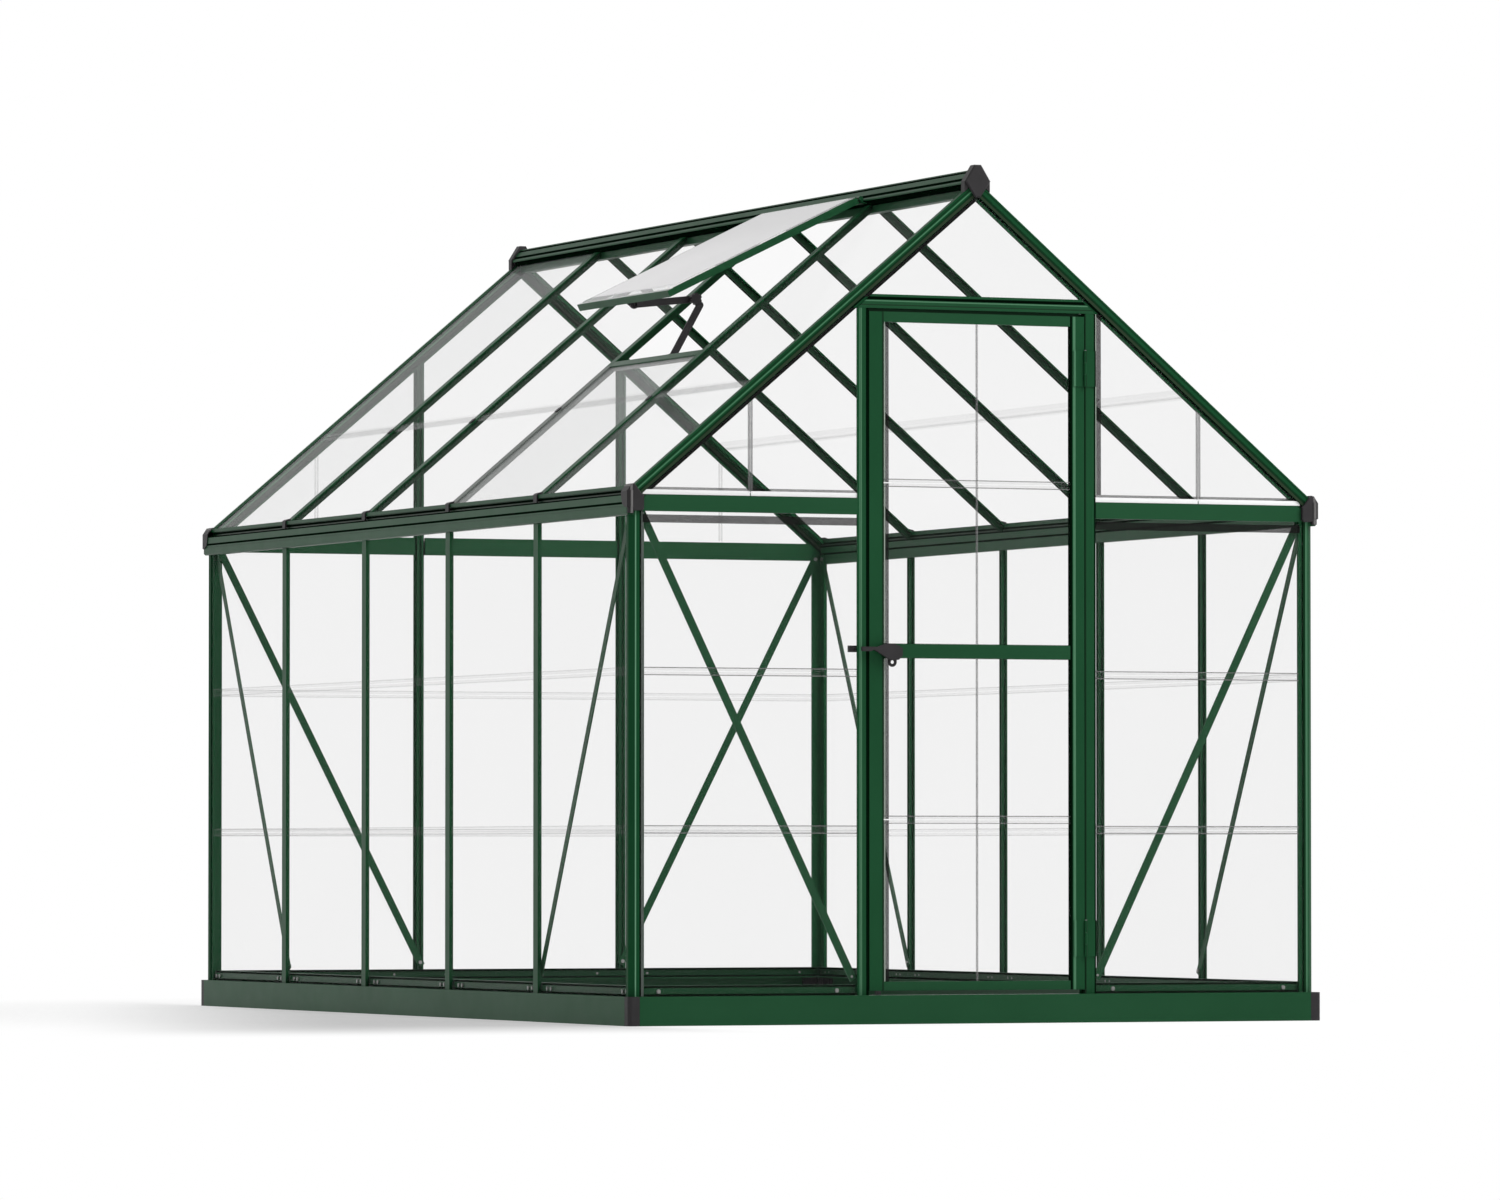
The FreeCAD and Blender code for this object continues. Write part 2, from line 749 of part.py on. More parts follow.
ridge_long = end_y - ridge_cap_reach - seat_gap
ridge_short = end_y - rafter_top_lip - seat_gap
ridge_under = [(0, roof_height(0, -seat_gap))]
ridge_upper = prism(symmetric(ridge_side + ridge_under, -ridge_long), Vector(0, 2 * ridge_long, 0))
ridge_lower = prism(symmetric(ridge_side + web_side, -ridge_short), Vector(0, 2 * ridge_short, 0))
web_hollow_half = ridge_web_half - ridge_wall
web_hollow_side = [(web_hollow_half, web_top - ridge_wall), (web_hollow_half, web_foot + ridge_wall)]
web_hollow = prism(symmetric(web_hollow_side, -ridge_short), Vector(0, 2 * ridge_short, 0))
ridge_skin = ridge_groove + ridge_wall
hollow_top = ridge_top - ridge_wall
hollow_half = ridge_slot_half - ridge_wall
hollow_wide = ridge_wing_half - ridge_skin
hollow_step = nose_low + ridge_wall
cap_hollow_side = [
    (ridge_side_x(hollow_top) - ridge_skin, hollow_top), (hollow_wide, nose_high), (hollow_wide, hollow_step),
    (hollow_half, hollow_step), (hollow_half, roof_height(hollow_half, -seat_gap - ridge_wall)),
    (0, roof_height(0, -seat_gap - ridge_wall)),
]
cap_hollow = prism(symmetric(cap_hollow_side, -ridge_long), Vector(0, 2 * ridge_long, 0))
ridge_beam = fuse([ridge_upper, ridge_lower]).cut(web_hollow).cut(cap_hollow)
save("ridge_beam", [ridge_beam])

# Ridge caps: a faceted plate over the rafters' mitre and a hood over the beam's end
cap_top = ridge_top + ridge_cap_peak
cap_wing = ridge_wing_half + ridge_cap_border
cap_wing_low = roof_height(cap_wing, -seat_gap)
cap_side = [
    (ridge_cap_peak_half, cap_top), (cap_wing, nose_high + ridge_cap_border), (cap_wing, cap_wing_low),
]
plate_side = cap_side[:2] + [(ridge_cap_foot_half, apex_height - ridge_cap_drop)]
cap_plate_y = -end_y - seat_gap
ridge_plate = prism(symmetric(plate_side, cap_plate_y), Vector(0, -ridge_cap_plate, 0))
ridge_face = cap_plate_y - ridge_cap_plate
face_edges = [e for e in ridge_plate.Edges if e.BoundBox.YMax < ridge_face + edge_match]
ridge_plate = ridge_plate.makeChamfer(ridge_cap_chamfer, face_edges)
ridge_hood = prism(symmetric(cap_side + ridge_under, cap_plate_y), Vector(0, ridge_cap_reach + seat_gap, 0))
save("ridge_caps", both_ends([fuse([ridge_plate, ridge_hood])]))

# Gable rafters meet in a mitre at the apex and stop against the gutter beams
rafter_outline = angle_section(
    rafter_top_flange, rafter_flange, rafter_top_lip, rafter_lip, rafter_top_core, rafter_core, rafter_chamfer
)
rafter_run = apex_height / slope_sin
rafter_sweep = slope_point(rafter_run, 0, 0) - slope_point(0, 0, 0)
rafter = prism([slope_point(-base_depth, d - end_y, n) for d, n in rafter_outline], rafter_sweep)
zone_top = apex_height + base_height
rafter_zone = block(-rafter_end_x, -seat_gap / 2, -end_y, base_depth - end_y, base_height, zone_top)
save("gable_rafters", four_corners([rafter.common(rafter_zone)]))

# Roof bars between the gutter's lip and the ridge's web
bar_zone = block(-bar_end_x, -ridge_web_half - seat_gap, -end_y, end_y, base_height, zone_top)
left_roof_bars = []
for y in bar_rows:
    points = [slope_point(-base_depth, y + w, n) for w, n in bar_outline(roof_bar_depth)]
    left_roof_bars.append(prism(points, rafter_sweep).common(bar_zone))
save("roof_bars", both_sides(left_roof_bars))

# Eave ties across the end walls, with a pane groove above and below, their ends cut along the rafters
tie_body_end = side_x - post_lip - seat_gap
tie_flange_end = side_x - post_flange - seat_gap
tie_top = eave_height - tie_drop
tie_low = tie_top - tie_height
tie_inner_top = tie_top + tie_inner_rise
neck_low = tie_low + tie_neck_inset
neck_high = tie_top - tie_neck_inset
tie_flange_outline = [(0, tie_low), (flange_thickness, tie_low), (flange_thickness, tie_top), (0, tie_top)]
tie_body_outline = [
    (flange_thickness, neck_low), (groove_back, neck_low), (groove_back, tie_low), (tie_depth, tie_low),
    (tie_depth, tie_inner_top), (groove_back, tie_inner_top), (groove_back, neck_high),
    (flange_thickness, neck_high),
]


def eave_tie(flange_near, flange_far, body_near, body_far):
    flange_points = [front_point(flange_near, d, z) for d, z in tie_flange_outline]
    body_points = [front_point(body_near, d, z) for d, z in tie_body_outline]
    flange = prism(flange_points, Vector(flange_far - flange_near, 0, 0))
    body = prism(body_points, Vector(body_far - body_near, 0, 0))
    return fuse([flange, body]).common(gable_space)


bar_edge = bar_flange / 2 + seat_gap
bar_far = back_bar_x + bar_edge
bar_near = back_bar_x - bar_edge
front_body_far = -door_post_x - seat_gap
front_tie = eave_tie(-tie_flange_end, -door_post_x - seat_gap, -tie_body_end, front_body_far)
back_tie = eave_tie(-tie_flange_end, -bar_far, -tie_body_end, -bar_far)
middle_tie = eave_tie(-bar_near, bar_near, -bar_near, bar_near)
save("eave_ties_front", both_sides([front_tie]))
save("eave_ties_back", [mirror_y(tie) for tie in both_sides([back_tie]) + [middle_tie]])

# Diagonal braces: flat bars inside the walls from the top of each corner, with a bolt at each end
brace_front = wall_bar_depth + seat_gap
brace_back = brace_front + brace_thickness
brace_top_z = gutter_bottom + brace_top_rise
brace_foot_z = base_height + brace_foot_height


def flat_brace(place, top, foot, inward):
    along = Vector(foot[0] - top[0], foot[1] - top[1], 0)
    unit = along.normalize()
    across = Vector(-unit.y, unit.x, 0) * (brace_width / 2)
    ends = []
    for sign_along, sign_across, end in ((-1, 1, top), (1, 1, foot), (1, -1, foot), (-1, -1, top)):
        t = end[0] + unit.x * sign_along * brace_width / 2 + across.x * sign_across
        z = end[1] + unit.y * sign_along * brace_width / 2 + across.y * sign_across
        ends.append(place(t, brace_front, z))
    bar = prism(ends, inward * brace_thickness)
    centres = [place(top[0], brace_front, top[1]), place(foot[0], brace_front, foot[1])]
    bar = drilled(bar, centres, inward, brace_thickness)
    bolts = []
    for centre in centres:
        head = rod(centre + inward * brace_thickness, bolt_head_radius, inward * bolt_head_height)
        bolts.append(fuse([rod(centre, bolt_shank_radius, inward * brace_thickness), head]))
    return bar, bolts


def on_left(t, depth, z):
    return left_point(depth, t, z)


brace_start_y = brace_inset - end_y
brace_start_x = brace_inset - side_x
side_brace, side_brace_bolts = flat_brace(
    on_left, (brace_start_y, brace_top_z), (bar_rows[0], brace_foot_z), Vector(1, 0, 0)
)
front_foot_x = -door_post_x - front_brace_foot_offset
front_brace, front_brace_bolts = flat_brace(
    front_point, (brace_start_x, brace_top_z), (front_foot_x, brace_foot_z), Vector(0, 1, 0)
)
back_brace, back_brace_bolts = flat_brace(
    front_point, (brace_start_x, brace_top_z), (-back_bar_x, brace_foot_z), Vector(0, 1, 0)
)
save("side_braces", four_corners([side_brace]))
save("end_braces", both_sides([front_brace, mirror_y(back_brace)]))
back_bolt_set = [mirror_y(bolt) for bolt in back_brace_bolts]
save("brace_bolts", four_corners(side_brace_bolts) + both_sides(front_brace_bolts + back_bolt_set))

# Panes of the long walls, three rows to each bay
web_half = joiner_web / 2 + seat_gap
pane_foot = base_height + seat_gap
row_lows = [pane_foot, lower_seam_height + web_half, upper_seam_height + web_half]
seam_highs = [lower_seam_height - web_half, upper_seam_height - web_half]
row_highs_side = seam_highs + [gutter_bottom + gutter_groove - pane_edge_gap]
row_highs_end = seam_highs + [neck_low - pane_edge_gap]
neck_edge = bar_neck / 2 + pane_edge_gap
post_edge = post_core + pane_edge_gap
side_columns = [(post_edge - end_y, bar_rows[0] - neck_edge)]
for near, far in zip(bar_rows[:-1], bar_rows[1:]):
    side_columns.append((near + neck_edge, far - neck_edge))
side_columns.append((bar_rows[3] + neck_edge, end_y - post_edge))
left_panes = []
for near, far in side_columns:
    for low, high in zip(row_lows, row_highs_side):
        left_panes.append(block(pane_front - side_x, pane_back - side_x, near, far, low, high))
save("left_wall_panes", left_panes)
save("right_wall_panes", [mirror_x(pane) for pane in left_panes])


# Panes of the end walls below the ties
def end_row(near, far):
    rows = zip(row_lows, row_highs_end)
    return [block(near, far, pane_front - end_y, pane_back - end_y, z0, z1) for z0, z1 in rows]


outer_pane_x = beam_inner_x - pane_edge_gap
door_pane_x = door_post_x - door_post_core + pane_edge_gap
save("front_wall_panes", both_sides(end_row(-outer_pane_x, -door_pane_x)))
back_side_row = end_row(-outer_pane_x, -back_bar_x - neck_edge)
back_middle_row = end_row(neck_edge - back_bar_x, back_bar_x - neck_edge)
save("back_wall_panes", [mirror_y(pane) for pane in both_sides(back_side_row) + back_middle_row])

# Gable panes above the ties and above the door
rafter_edge = rafter_core + pane_edge_gap
gable_foot = neck_high + pane_edge_gap
seam_half = joiner_web / 2 + seat_gap
seam_out = gable_seam_x + seam_half
seam_in = gable_seam_x - seam_half
post_head = header_height - pane_edge_gap
outer_gable = front_pane(
    [
        (-outer_pane_x, gable_foot), (-seam_out, gable_foot), (-seam_out, roof_height(seam_out, rafter_edge)),
        (-outer_pane_x, roof_height(outer_pane_x, rafter_edge)),
    ]
)
inner_front_gable = front_pane(
    [
        (-seam_in, gable_foot), (-door_pane_x, gable_foot), (-door_pane_x, post_head),
        (-roof_x(post_head, rafter_edge), post_head), (-seam_in, roof_height(seam_in, rafter_edge)),
    ]
)
back_edge_x = back_bar_x + neck_edge
inner_back_gable = front_pane(
    [
        (-seam_in, gable_foot), (-back_edge_x, gable_foot),
        (-back_edge_x, roof_height(back_edge_x, rafter_edge)), (-seam_in, roof_height(seam_in, rafter_edge)),
    ]
)
apex_foot = header_height + header_body + pane_edge_gap
apex_foot_x = roof_x(apex_foot, rafter_edge)
pane_peak = roof_height(0, rafter_edge)
apex_pane = front_pane([(-apex_foot_x, apex_foot), (apex_foot_x, apex_foot), (0, pane_peak)])
middle_x = back_bar_x - neck_edge
middle_back_gable = front_pane(
    [
        (-middle_x, gable_foot), (middle_x, gable_foot), (middle_x, roof_height(middle_x, rafter_edge)),
        (0, pane_peak), (-middle_x, roof_height(middle_x, rafter_edge)),
    ]
)
front_gables = both_sides([outer_gable, inner_front_gable]) + [apex_pane]
back_gables = both_sides([outer_gable, inner_back_gable]) + [middle_back_gable]
save("gable_panes", front_gables + [mirror_y(pane) for pane in back_gables])

# Roof panes, with the vent bay left open above its sill
roof_pane_top = (ridge_web_half + seat_gap + pane_back * slope_sin) / slope_cos + pane_edge_gap
roof_pane_foot = (bar_end_x + pane_front * slope_sin) / slope_cos - pane_edge_gap
roof_columns = [(rafter_top_core + pane_edge_gap - end_y, bar_rows[0] - neck_edge)]
for near, far in zip(bar_rows[:-1], bar_rows[1:]):
    roof_columns.append((near + neck_edge, far - neck_edge))
roof_columns.append((bar_rows[3] + neck_edge, end_y - rafter_top_core - pane_edge_gap))
vent_pane_top = vent_sill_distance + vent_sill_width - vent_sill_groove + pane_edge_gap
upper_tops_left = [roof_pane_top, vent_pane_top, roof_pane_top, roof_pane_top, roof_pane_top]
seam_high = roof_seam_distance - seam_half
seam_low = roof_seam_distance + seam_half
left_roof_panes = []
right_roof_panes = []
for (near, far), top in zip(roof_columns, upper_tops_left):
    lower_pane = slope_block(seam_low, roof_pane_foot, near, far, pane_front, pane_back)
    left_roof_panes += [slope_block(top, seam_high, near, far, pane_front, pane_back), lower_pane]
    upper_pane = slope_block(roof_pane_top, seam_high, near, far, pane_front, pane_back)
    right_roof_panes += [mirror_x(upper_pane), mirror_x(lower_pane)]
save("left_roof_panes", left_roof_panes)
save("right_roof_panes", right_roof_panes)


# Clear strips that join panes: an H section across (t) and through (depth)
def joiner_outline(height):
    half = height / 2
    web = joiner_web / 2
    face_out = pane_front - pane_clearance / 2
    face_in = pane_back + pane_clearance / 2
    return [
        (-half, face_out - joiner_face), (half, face_out - joiner_face), (half, face_out), (web, face_out),
        (web, face_in), (half, face_in), (half, face_in + joiner_face), (-half, face_in + joiner_face),
        (-half, face_in), (-web, face_in), (-web, face_out), (-half, face_out),
    ]


lip_edge = post_lip + seat_gap
side_joiner_runs = [(lip_edge - end_y, bar_rows[0] - bar_edge)]
for near, far in zip(bar_rows[:-1], bar_rows[1:]):
    side_joiner_runs.append((near + bar_edge, far - bar_edge))
side_joiner_runs.append((bar_rows[3] + bar_edge, end_y - lip_edge))
left_joiners = []
for near, far in side_joiner_runs:
    for seam in (lower_seam_height, upper_seam_height):
        points = [left_point(d, near, seam + t) for t, d in joiner_outline(joiner_height)]
        left_joiners.append(prism(points, Vector(0, far - near, 0)))


def end_joiners(near, far):
    strips = []
    for seam in (lower_seam_height, upper_seam_height):
        points = [front_point(near, d, seam + t) for t, d in joiner_outline(joiner_height)]
        strips.append(prism(points, Vector(far - near, 0, 0)))
    return strips


def gable_joiner():
    low = tie_inner_top + seat_gap
    points = [front_point(t - gable_seam_x, d, low) for t, d in joiner_outline(gable_joiner_width)]
    return prism(points, full_rise).common(gable_space)


end_lip_x = side_x - lip_edge
front_joiners = both_sides(end_joiners(-end_lip_x, -front_sill_end) + [gable_joiner()])
back_joiners = both_sides(end_joiners(-end_lip_x, -back_bar_x - bar_edge) + [gable_joiner()])
back_joiners += end_joiners(bar_edge - back_bar_x, back_bar_x - bar_edge)
end_strips = front_joiners + [mirror_y(strip) for strip in back_joiners]
save("wall_pane_joiners", both_sides(left_joiners) + end_strips)
roof_joiner_runs = [(rafter_top_lip + seat_gap - end_y, bar_rows[0] - bar_edge)] + side_joiner_runs[1:4]
roof_joiner_runs.append((bar_rows[3] + bar_edge, end_y - rafter_top_lip - seat_gap))
roof_joiners = []
for near, far in roof_joiner_runs:
    points = [(roof_seam_distance + t, d) for t, d in joiner_outline(roof_joiner_width)]
    roof_joiners.append(slope_prism(points, near, far))
save("roof_pane_joiners", both_sides(roof_joiners))

# Black clips: one hooked over the gutter's lip at each roof bar, and one at the lower edge of the pane seam
hook_in = seat_gap - gutter_lip_out
hook_out = hook_in + clip_thickness
hook_top = gutter_lip_high + seat_gap
hook_far = clip_reach * slope_tan + 2 * seat_gap
clip_outline = [
    (hook_in, -clip_drop), (hook_out, -clip_drop), (hook_out, hook_top), (hook_in, hook_top + clip_rise),
    (-clip_reach, hook_far + clip_rise), (-clip_reach, hook_far), (-gutter_lip_in, hook_top),
    (hook_in, hook_top),
]
seam_near = roof_seam_distance + (roof_joiner_width - clip_length) / 2
seam_far = seam_near + clip_length
seam_clip_top = -seat_gap - seam_clip_height
clips = []
for y in bar_rows:
    half = seam_clip_width / 2
    clips.append(gutter_prism(clip_outline, y - clip_width / 2, y + clip_width / 2))
    clips.append(slope_block(seam_near, seam_far, y - half, y + half, seam_clip_top, -seat_gap))
save("roof_clips", both_sides(clips))

# Vent bay between the first two roof bars
vent_near = bar_rows[0] + vent_side_gap
vent_far = bar_rows[1] - vent_side_gap
vent_middle = (vent_near + vent_far) / 2
sill_end = vent_sill_distance + vent_sill_width
sill_groove_start = sill_end - vent_sill_groove
vent_sill_outline = [
    (vent_sill_distance, 0), (sill_end, 0), (sill_end, flange_thickness),
    (sill_groove_start, flange_thickness), (sill_groove_start, groove_back), (sill_end, groove_back),
    (sill_end, vent_sill_depth), (vent_sill_distance, vent_sill_depth),
]
save("vent_sill", [slope_prism(vent_sill_outline, bar_rows[0] + bar_edge, bar_rows[1] - bar_edge)])

# Vent hinge: a bead on the vent's top rail turns in a socket rail fixed to the ridge
hinge_axis = slope_point(hinge_bead_distance, vent_near, -hinge_bead_height)
hinge_run = Vector(0, vent_far - vent_near, 0)
socket_bore = hinge_bead_radius + running_clearance
socket_radius = socket_bore + hinge_socket_wall
socket_reach = 2 * socket_radius


def socket_ray(angle, reach):
    turn = math.radians(angle)
    return (hinge_bead_distance + reach * math.cos(turn), reach * math.sin(turn) - hinge_bead_height)


socket_open_middle = (socket_open_low - socket_open_high) / 2
mouth = [
    (hinge_bead_distance, -hinge_bead_height), socket_ray(socket_open_low, socket_reach),
    socket_ray(socket_open_middle, socket_reach), socket_ray(-socket_open_high, socket_reach),
]
socket = rod(hinge_axis, socket_radius, hinge_run)
tongue_in = -ridge_slot_half - seat_gap
tongue_out = -ridge_wing_half - seat_gap
tongue_high = nose_low - seat_gap
tongue_low = tongue_high - hinge_tongue
socket_foot_outline = [
    (tongue_in, tongue_high), (tongue_in, tongue_low), (hinge_axis.x, tongue_low),
    (hinge_axis.x, hinge_axis.z), (tongue_out, hinge_axis.z), (tongue_out, tongue_high),
]
socket_foot = prism([Vector(x, vent_near, z) for x, z in socket_foot_outline], hinge_run)
socket = fuse([socket, socket_foot])
socket = socket.cut(rod(hinge_axis, socket_bore, hinge_run)).cut(slope_prism(mouth, vent_near, vent_far))
save("vent_hinge_rail", [socket])


def opened(shape):
    return shape.rotated(hinge_axis, Vector(0, 1, 0), vent_open)


# Vent frame, drawn in line with its hinge above the slope and then turned open, its pane on top
rail_low = vent_depth / 2 - hinge_bead_height
rail_high = -vent_depth / 2 - hinge_bead_height
glass_low = rail_high + pane_thickness
shelf = glass_low + pane_clearance
top_start = hinge_bead_distance + hinge_neck_length
top_end = top_start + vent_top_rail_width
bottom_end = vent_sill_distance + vent_overlap
bottom_start = bottom_end - vent_rail_width
top_wall = top_start + vent_rail_wall
bottom_wall = bottom_end - vent_rail_wall
top_outline = [
    (top_start, rail_high), (top_wall, rail_high), (top_wall, shelf), (top_end, shelf),
    (top_end, rail_low), (top_start, rail_low),
]
bottom_outline = [
    (bottom_start, shelf), (bottom_wall, shelf), (bottom_wall, rail_high), (bottom_end, rail_high),
    (bottom_end, rail_low), (bottom_start, rail_low),
]
neck_half = hinge_neck / 2
neck = slope_block(
    hinge_bead_distance, top_start, vent_near, vent_far,
    -hinge_bead_height - neck_half, neck_half - hinge_bead_height,
)
bead = rod(hinge_axis, hinge_bead_radius, hinge_run)
top_rail = fuse([bead, neck, slope_prism(top_outline, vent_near, vent_far)])
side_start = top_end + seat_gap
side_end = bottom_start - seat_gap
side_inner = vent_near + vent_rail_width
side_wall = vent_near + vent_rail_wall
side_rail_outline = [
    (vent_near, rail_high), (side_wall, rail_high), (side_wall, shelf), (side_inner, shelf),
    (side_inner, rail_low), (vent_near, rail_low),
]
side_sweep = slope_point(side_end, 0, 0) - slope_point(side_start, 0, 0)
side_rail = prism([slope_point(side_start, y, n) for y, n in side_rail_outline], side_sweep)
far_side_rail = side_rail.mirror(Vector(0, vent_middle, 0), Vector(0, 1, 0))
vent_glass = slope_block(
    top_wall + pane_edge_gap, bottom_wall - pane_edge_gap, side_wall + pane_edge_gap,
    vent_near + vent_far - side_wall - pane_edge_gap, rail_high, glass_low,
)
save("vent_top_rail", [opened(top_rail)])
save("vent_bottom_rail", [opened(slope_prism(bottom_outline, vent_near, vent_far))])
save("vent_side_rails", [opened(side_rail), opened(far_side_rail)])
save("vent_pane", [opened(vent_glass)])

# Folding stay between the vent's bottom rail and the sill, in planes side by side
layer = stay_layer_gap / 2
stay_middle = vent_middle + stay_offset
lower_front = stay_middle - layer - stay_thickness
lower_back = stay_middle - layer
upper_front = stay_middle + layer
upper_back = stay_middle + layer + stay_thickness
sill_ear_front = lower_front - stay_layer_gap - ear_thickness
vent_ear_back = upper_back + stay_layer_gap + ear_thickness
sill_pivot = slope_point(stay_sill_distance, 0, stay_sill_depth)
vent_pivot = opened(Part.Vertex(slope_point(stay_vent_distance, 0, stay_vent_depth))).Point
span = vent_pivot - sill_pivot
reach = (stay_lower_length ** 2 - stay_upper_length ** 2 + span.Length ** 2) / (2 * span.Length)
offset = math.sqrt(stay_lower_length ** 2 - reach ** 2)
along = span / span.Length
elbow = sill_pivot + along * reach + Vector(along.z, 0, -along.x) * offset


def at(point, y):
    return Vector(point.x, y, point.z)


def stay_arm(start, end, start_radius, end_radius, y0, y1):
    direction = (end - start) / (end - start).Length
    side = Vector(-direction.z, 0, direction.x) * stay_half_width
    corners = [at(start + side, y0), at(end + side, y0), at(end - side, y0), at(start - side, y0)]
    sweep = Vector(0, y1 - y0, 0)
    eyes = [rod(at(start, y0), start_radius, sweep), rod(at(end, y0), end_radius, sweep)]
    return fuse([prism(corners, sweep)] + eyes)


def bored(shape, point, radius, y0, y1):
    return shape.cut(rod(at(point, y0 - 1), radius, Vector(0, y1 - y0 + 2, 0)))


pivot_bore = stay_pin_radius + running_clearance
open_pivot_bore = stay_pin_radius + stay_open_pivot_clearance
open_pivot_radius = open_pivot_bore + stay_open_pivot_wall
knob_front = sill_ear_front + ear_thickness - knob_length
kink = elbow + Vector(stay_kink_out, 0, -stay_kink_drop)
lower_arm = fuse([
    stay_arm(sill_pivot, kink, stay_end_radius, stay_half_width, lower_front, lower_back),
    stay_arm(kink, elbow, stay_half_width, stay_end_radius, lower_front, lower_back),
])
lower_arm = bored(lower_arm, sill_pivot, pivot_bore, lower_front, lower_back)
stud_start = lower_front - knob_stud
stud_end = upper_back + stay_layer_gap
elbow_stud = rod(at(elbow, stud_start), stay_pin_radius, Vector(0, stud_end - stud_start, 0))
elbow_head = rod(at(elbow, stud_end), 2 * stay_pin_radius, Vector(0, stay_pin_radius, 0))
save("stay_lower_arm", [fuse([lower_arm, elbow_stud, elbow_head])])
upper_arm = stay_arm(elbow, vent_pivot, stay_end_radius, open_pivot_radius, upper_front, upper_back)
upper_arm = bored(upper_arm, elbow, pivot_bore, upper_front, upper_back)
upper_arm = bored(upper_arm, vent_pivot, open_pivot_bore, upper_front, upper_back)
save("stay_upper_arm", [upper_arm])
knob_sweep = Vector(0, knob_length, 0)
knob = rod(at(elbow, knob_front), knob_radius, knob_sweep)
for turn in range(0, 360, 60):
    ring = Vector(knob_radius * math.cos(math.radians(turn)), 0, knob_radius * math.sin(math.radians(turn)))
    knob = knob.cut(rod(at(elbow + ring, knob_front), knob_flute_radius, knob_sweep))
stud_bore = rod(at(elbow, stud_start - stay_layer_gap), pivot_bore, Vector(0, knob_stud + stay_layer_gap, 0))
save("stay_knob", [knob.cut(stud_bore)])


# Ear plate from a foot on a rail to a round eye that carries the pivot pin
def ear(foot_points, pivot_s, pivot_n, y0, y1, pin_y0, pin_y1):
    centre = slope_point(pivot_s, y0, pivot_n)
    sweep = Vector(0, y1 - y0, 0)
    eye_points = [(pivot_s - stay_end_radius, pivot_n), (pivot_s, pivot_n - stay_end_radius)]
    plate = slope_prism(foot_points + eye_points, y0, y1)
    pin = rod(slope_point(pivot_s, pin_y0, pivot_n), stay_pin_radius, Vector(0, pin_y1 - pin_y0, 0))
    return fuse([plate, rod(centre, stay_end_radius, sweep), pin])


foot_thickness = stay_pin_radius
sill_face = vent_sill_distance - seat_gap
sill_foot_low = vent_sill_depth - pane_edge_gap
sill_ear_foot = [
    (sill_face, groove_back), (sill_face, sill_foot_low),
    (stay_sill_distance, stay_sill_depth + stay_end_radius),
]
sill_ear = ear(
    sill_ear_foot, stay_sill_distance, stay_sill_depth, sill_ear_front, sill_ear_front + ear_thickness,
    sill_ear_front, lower_back - stay_layer_gap,
)
sill_foot = slope_block(
    sill_face - foot_thickness, sill_face, sill_ear_front, sill_ear_front + bracket_width,
    groove_back, sill_foot_low,
)
save("stay_sill_bracket", [fuse([sill_ear, sill_foot])])
vent_face = bottom_start - seat_gap
vent_foot_high = shelf + pane_edge_gap
vent_ear_foot = [
    (vent_face, vent_foot_high), (vent_face, rail_low),
    (stay_vent_distance + stay_end_radius, stay_vent_depth),
]
vent_ear = ear(
    vent_ear_foot, stay_vent_distance, stay_vent_depth, vent_ear_back - ear_thickness, vent_ear_back,
    upper_front + stay_layer_gap, vent_ear_back,
)
vent_foot = slope_block(
    vent_face - foot_thickness, vent_face, vent_ear_back - bracket_width, vent_ear_back,
    vent_foot_high, rail_low,
)
save("stay_vent_bracket", [opened(fuse([vent_ear, vent_foot]))])

# Door frame
stile_outline = [
    (0, 0), (stile_width, 0), (stile_width, flange_thickness), (stile_core, flange_thickness),
    (stile_core, groove_back), (stile_width, groove_back), (stile_width, door_lip_depth),
    (stile_body, door_lip_depth), (stile_body, door_depth), (0, door_depth),
]
stile_points = [front_point(p - door_half, d, door_low) for p, d in stile_outline]
stile_rise = Vector(0, 0, door_high - door_low)
stile_hollow_outline = [
    (door_section_wall, groove_back), (stile_body - door_section_wall, groove_back),
    (stile_body - door_section_wall, door_depth - door_section_wall),
    (door_section_wall, door_depth - door_section_wall),
]
stile_hollow = prism([front_point(p - door_half, d, door_low) for p, d in stile_hollow_outline], stile_rise)
stile = prism(stile_points, stile_rise).cut(stile_hollow)
save("door_stiles", both_sides([stile]))
rail_half = door_half - stile_width - seat_gap


def edge_rail(outer, direction, height):
    outline = [
        (0, 0), (height, 0), (height, flange_thickness), (height - rail_groove, flange_thickness),
        (height - rail_groove, groove_back), (height, groove_back), (height, door_lip_depth),
        (0, door_lip_depth),
    ]
    points = [front_point(-rail_half, d, outer + direction * q) for q, d in outline]
    return prism(points, Vector(2 * rail_half, 0, 0))


mid_half = mid_rail_height / 2
mid_core = mid_half - rail_groove
mid_outline = [
    (-mid_half, 0), (mid_half, 0), (mid_half, flange_thickness), (mid_core, flange_thickness),
    (mid_core, groove_back), (mid_half, groove_back), (mid_half, door_depth), (-mid_half, door_depth),
    (-mid_half, groove_back), (-mid_core, groove_back), (-mid_core, flange_thickness),
    (-mid_half, flange_thickness),
]
mid_points = [front_point(-rail_half, d, mid_rail_centre + q) for q, d in mid_outline]
mid_rail = prism(mid_points, Vector(2 * rail_half, 0, 0))
spindle_bore = spindle_radius + running_clearance
bore_start = front_point(-handle_x, -base_wall, mid_rail_centre)
mid_rail = mid_rail.cut(rod(bore_start, spindle_bore, Vector(0, door_depth + 2 * base_wall, 0)))
save("door_top_rail", [edge_rail(door_high, -1, top_rail_height)])
save("door_mid_rail", [mid_rail])
save("door_bottom_rail", [edge_rail(door_low, 1, bottom_rail_height)])

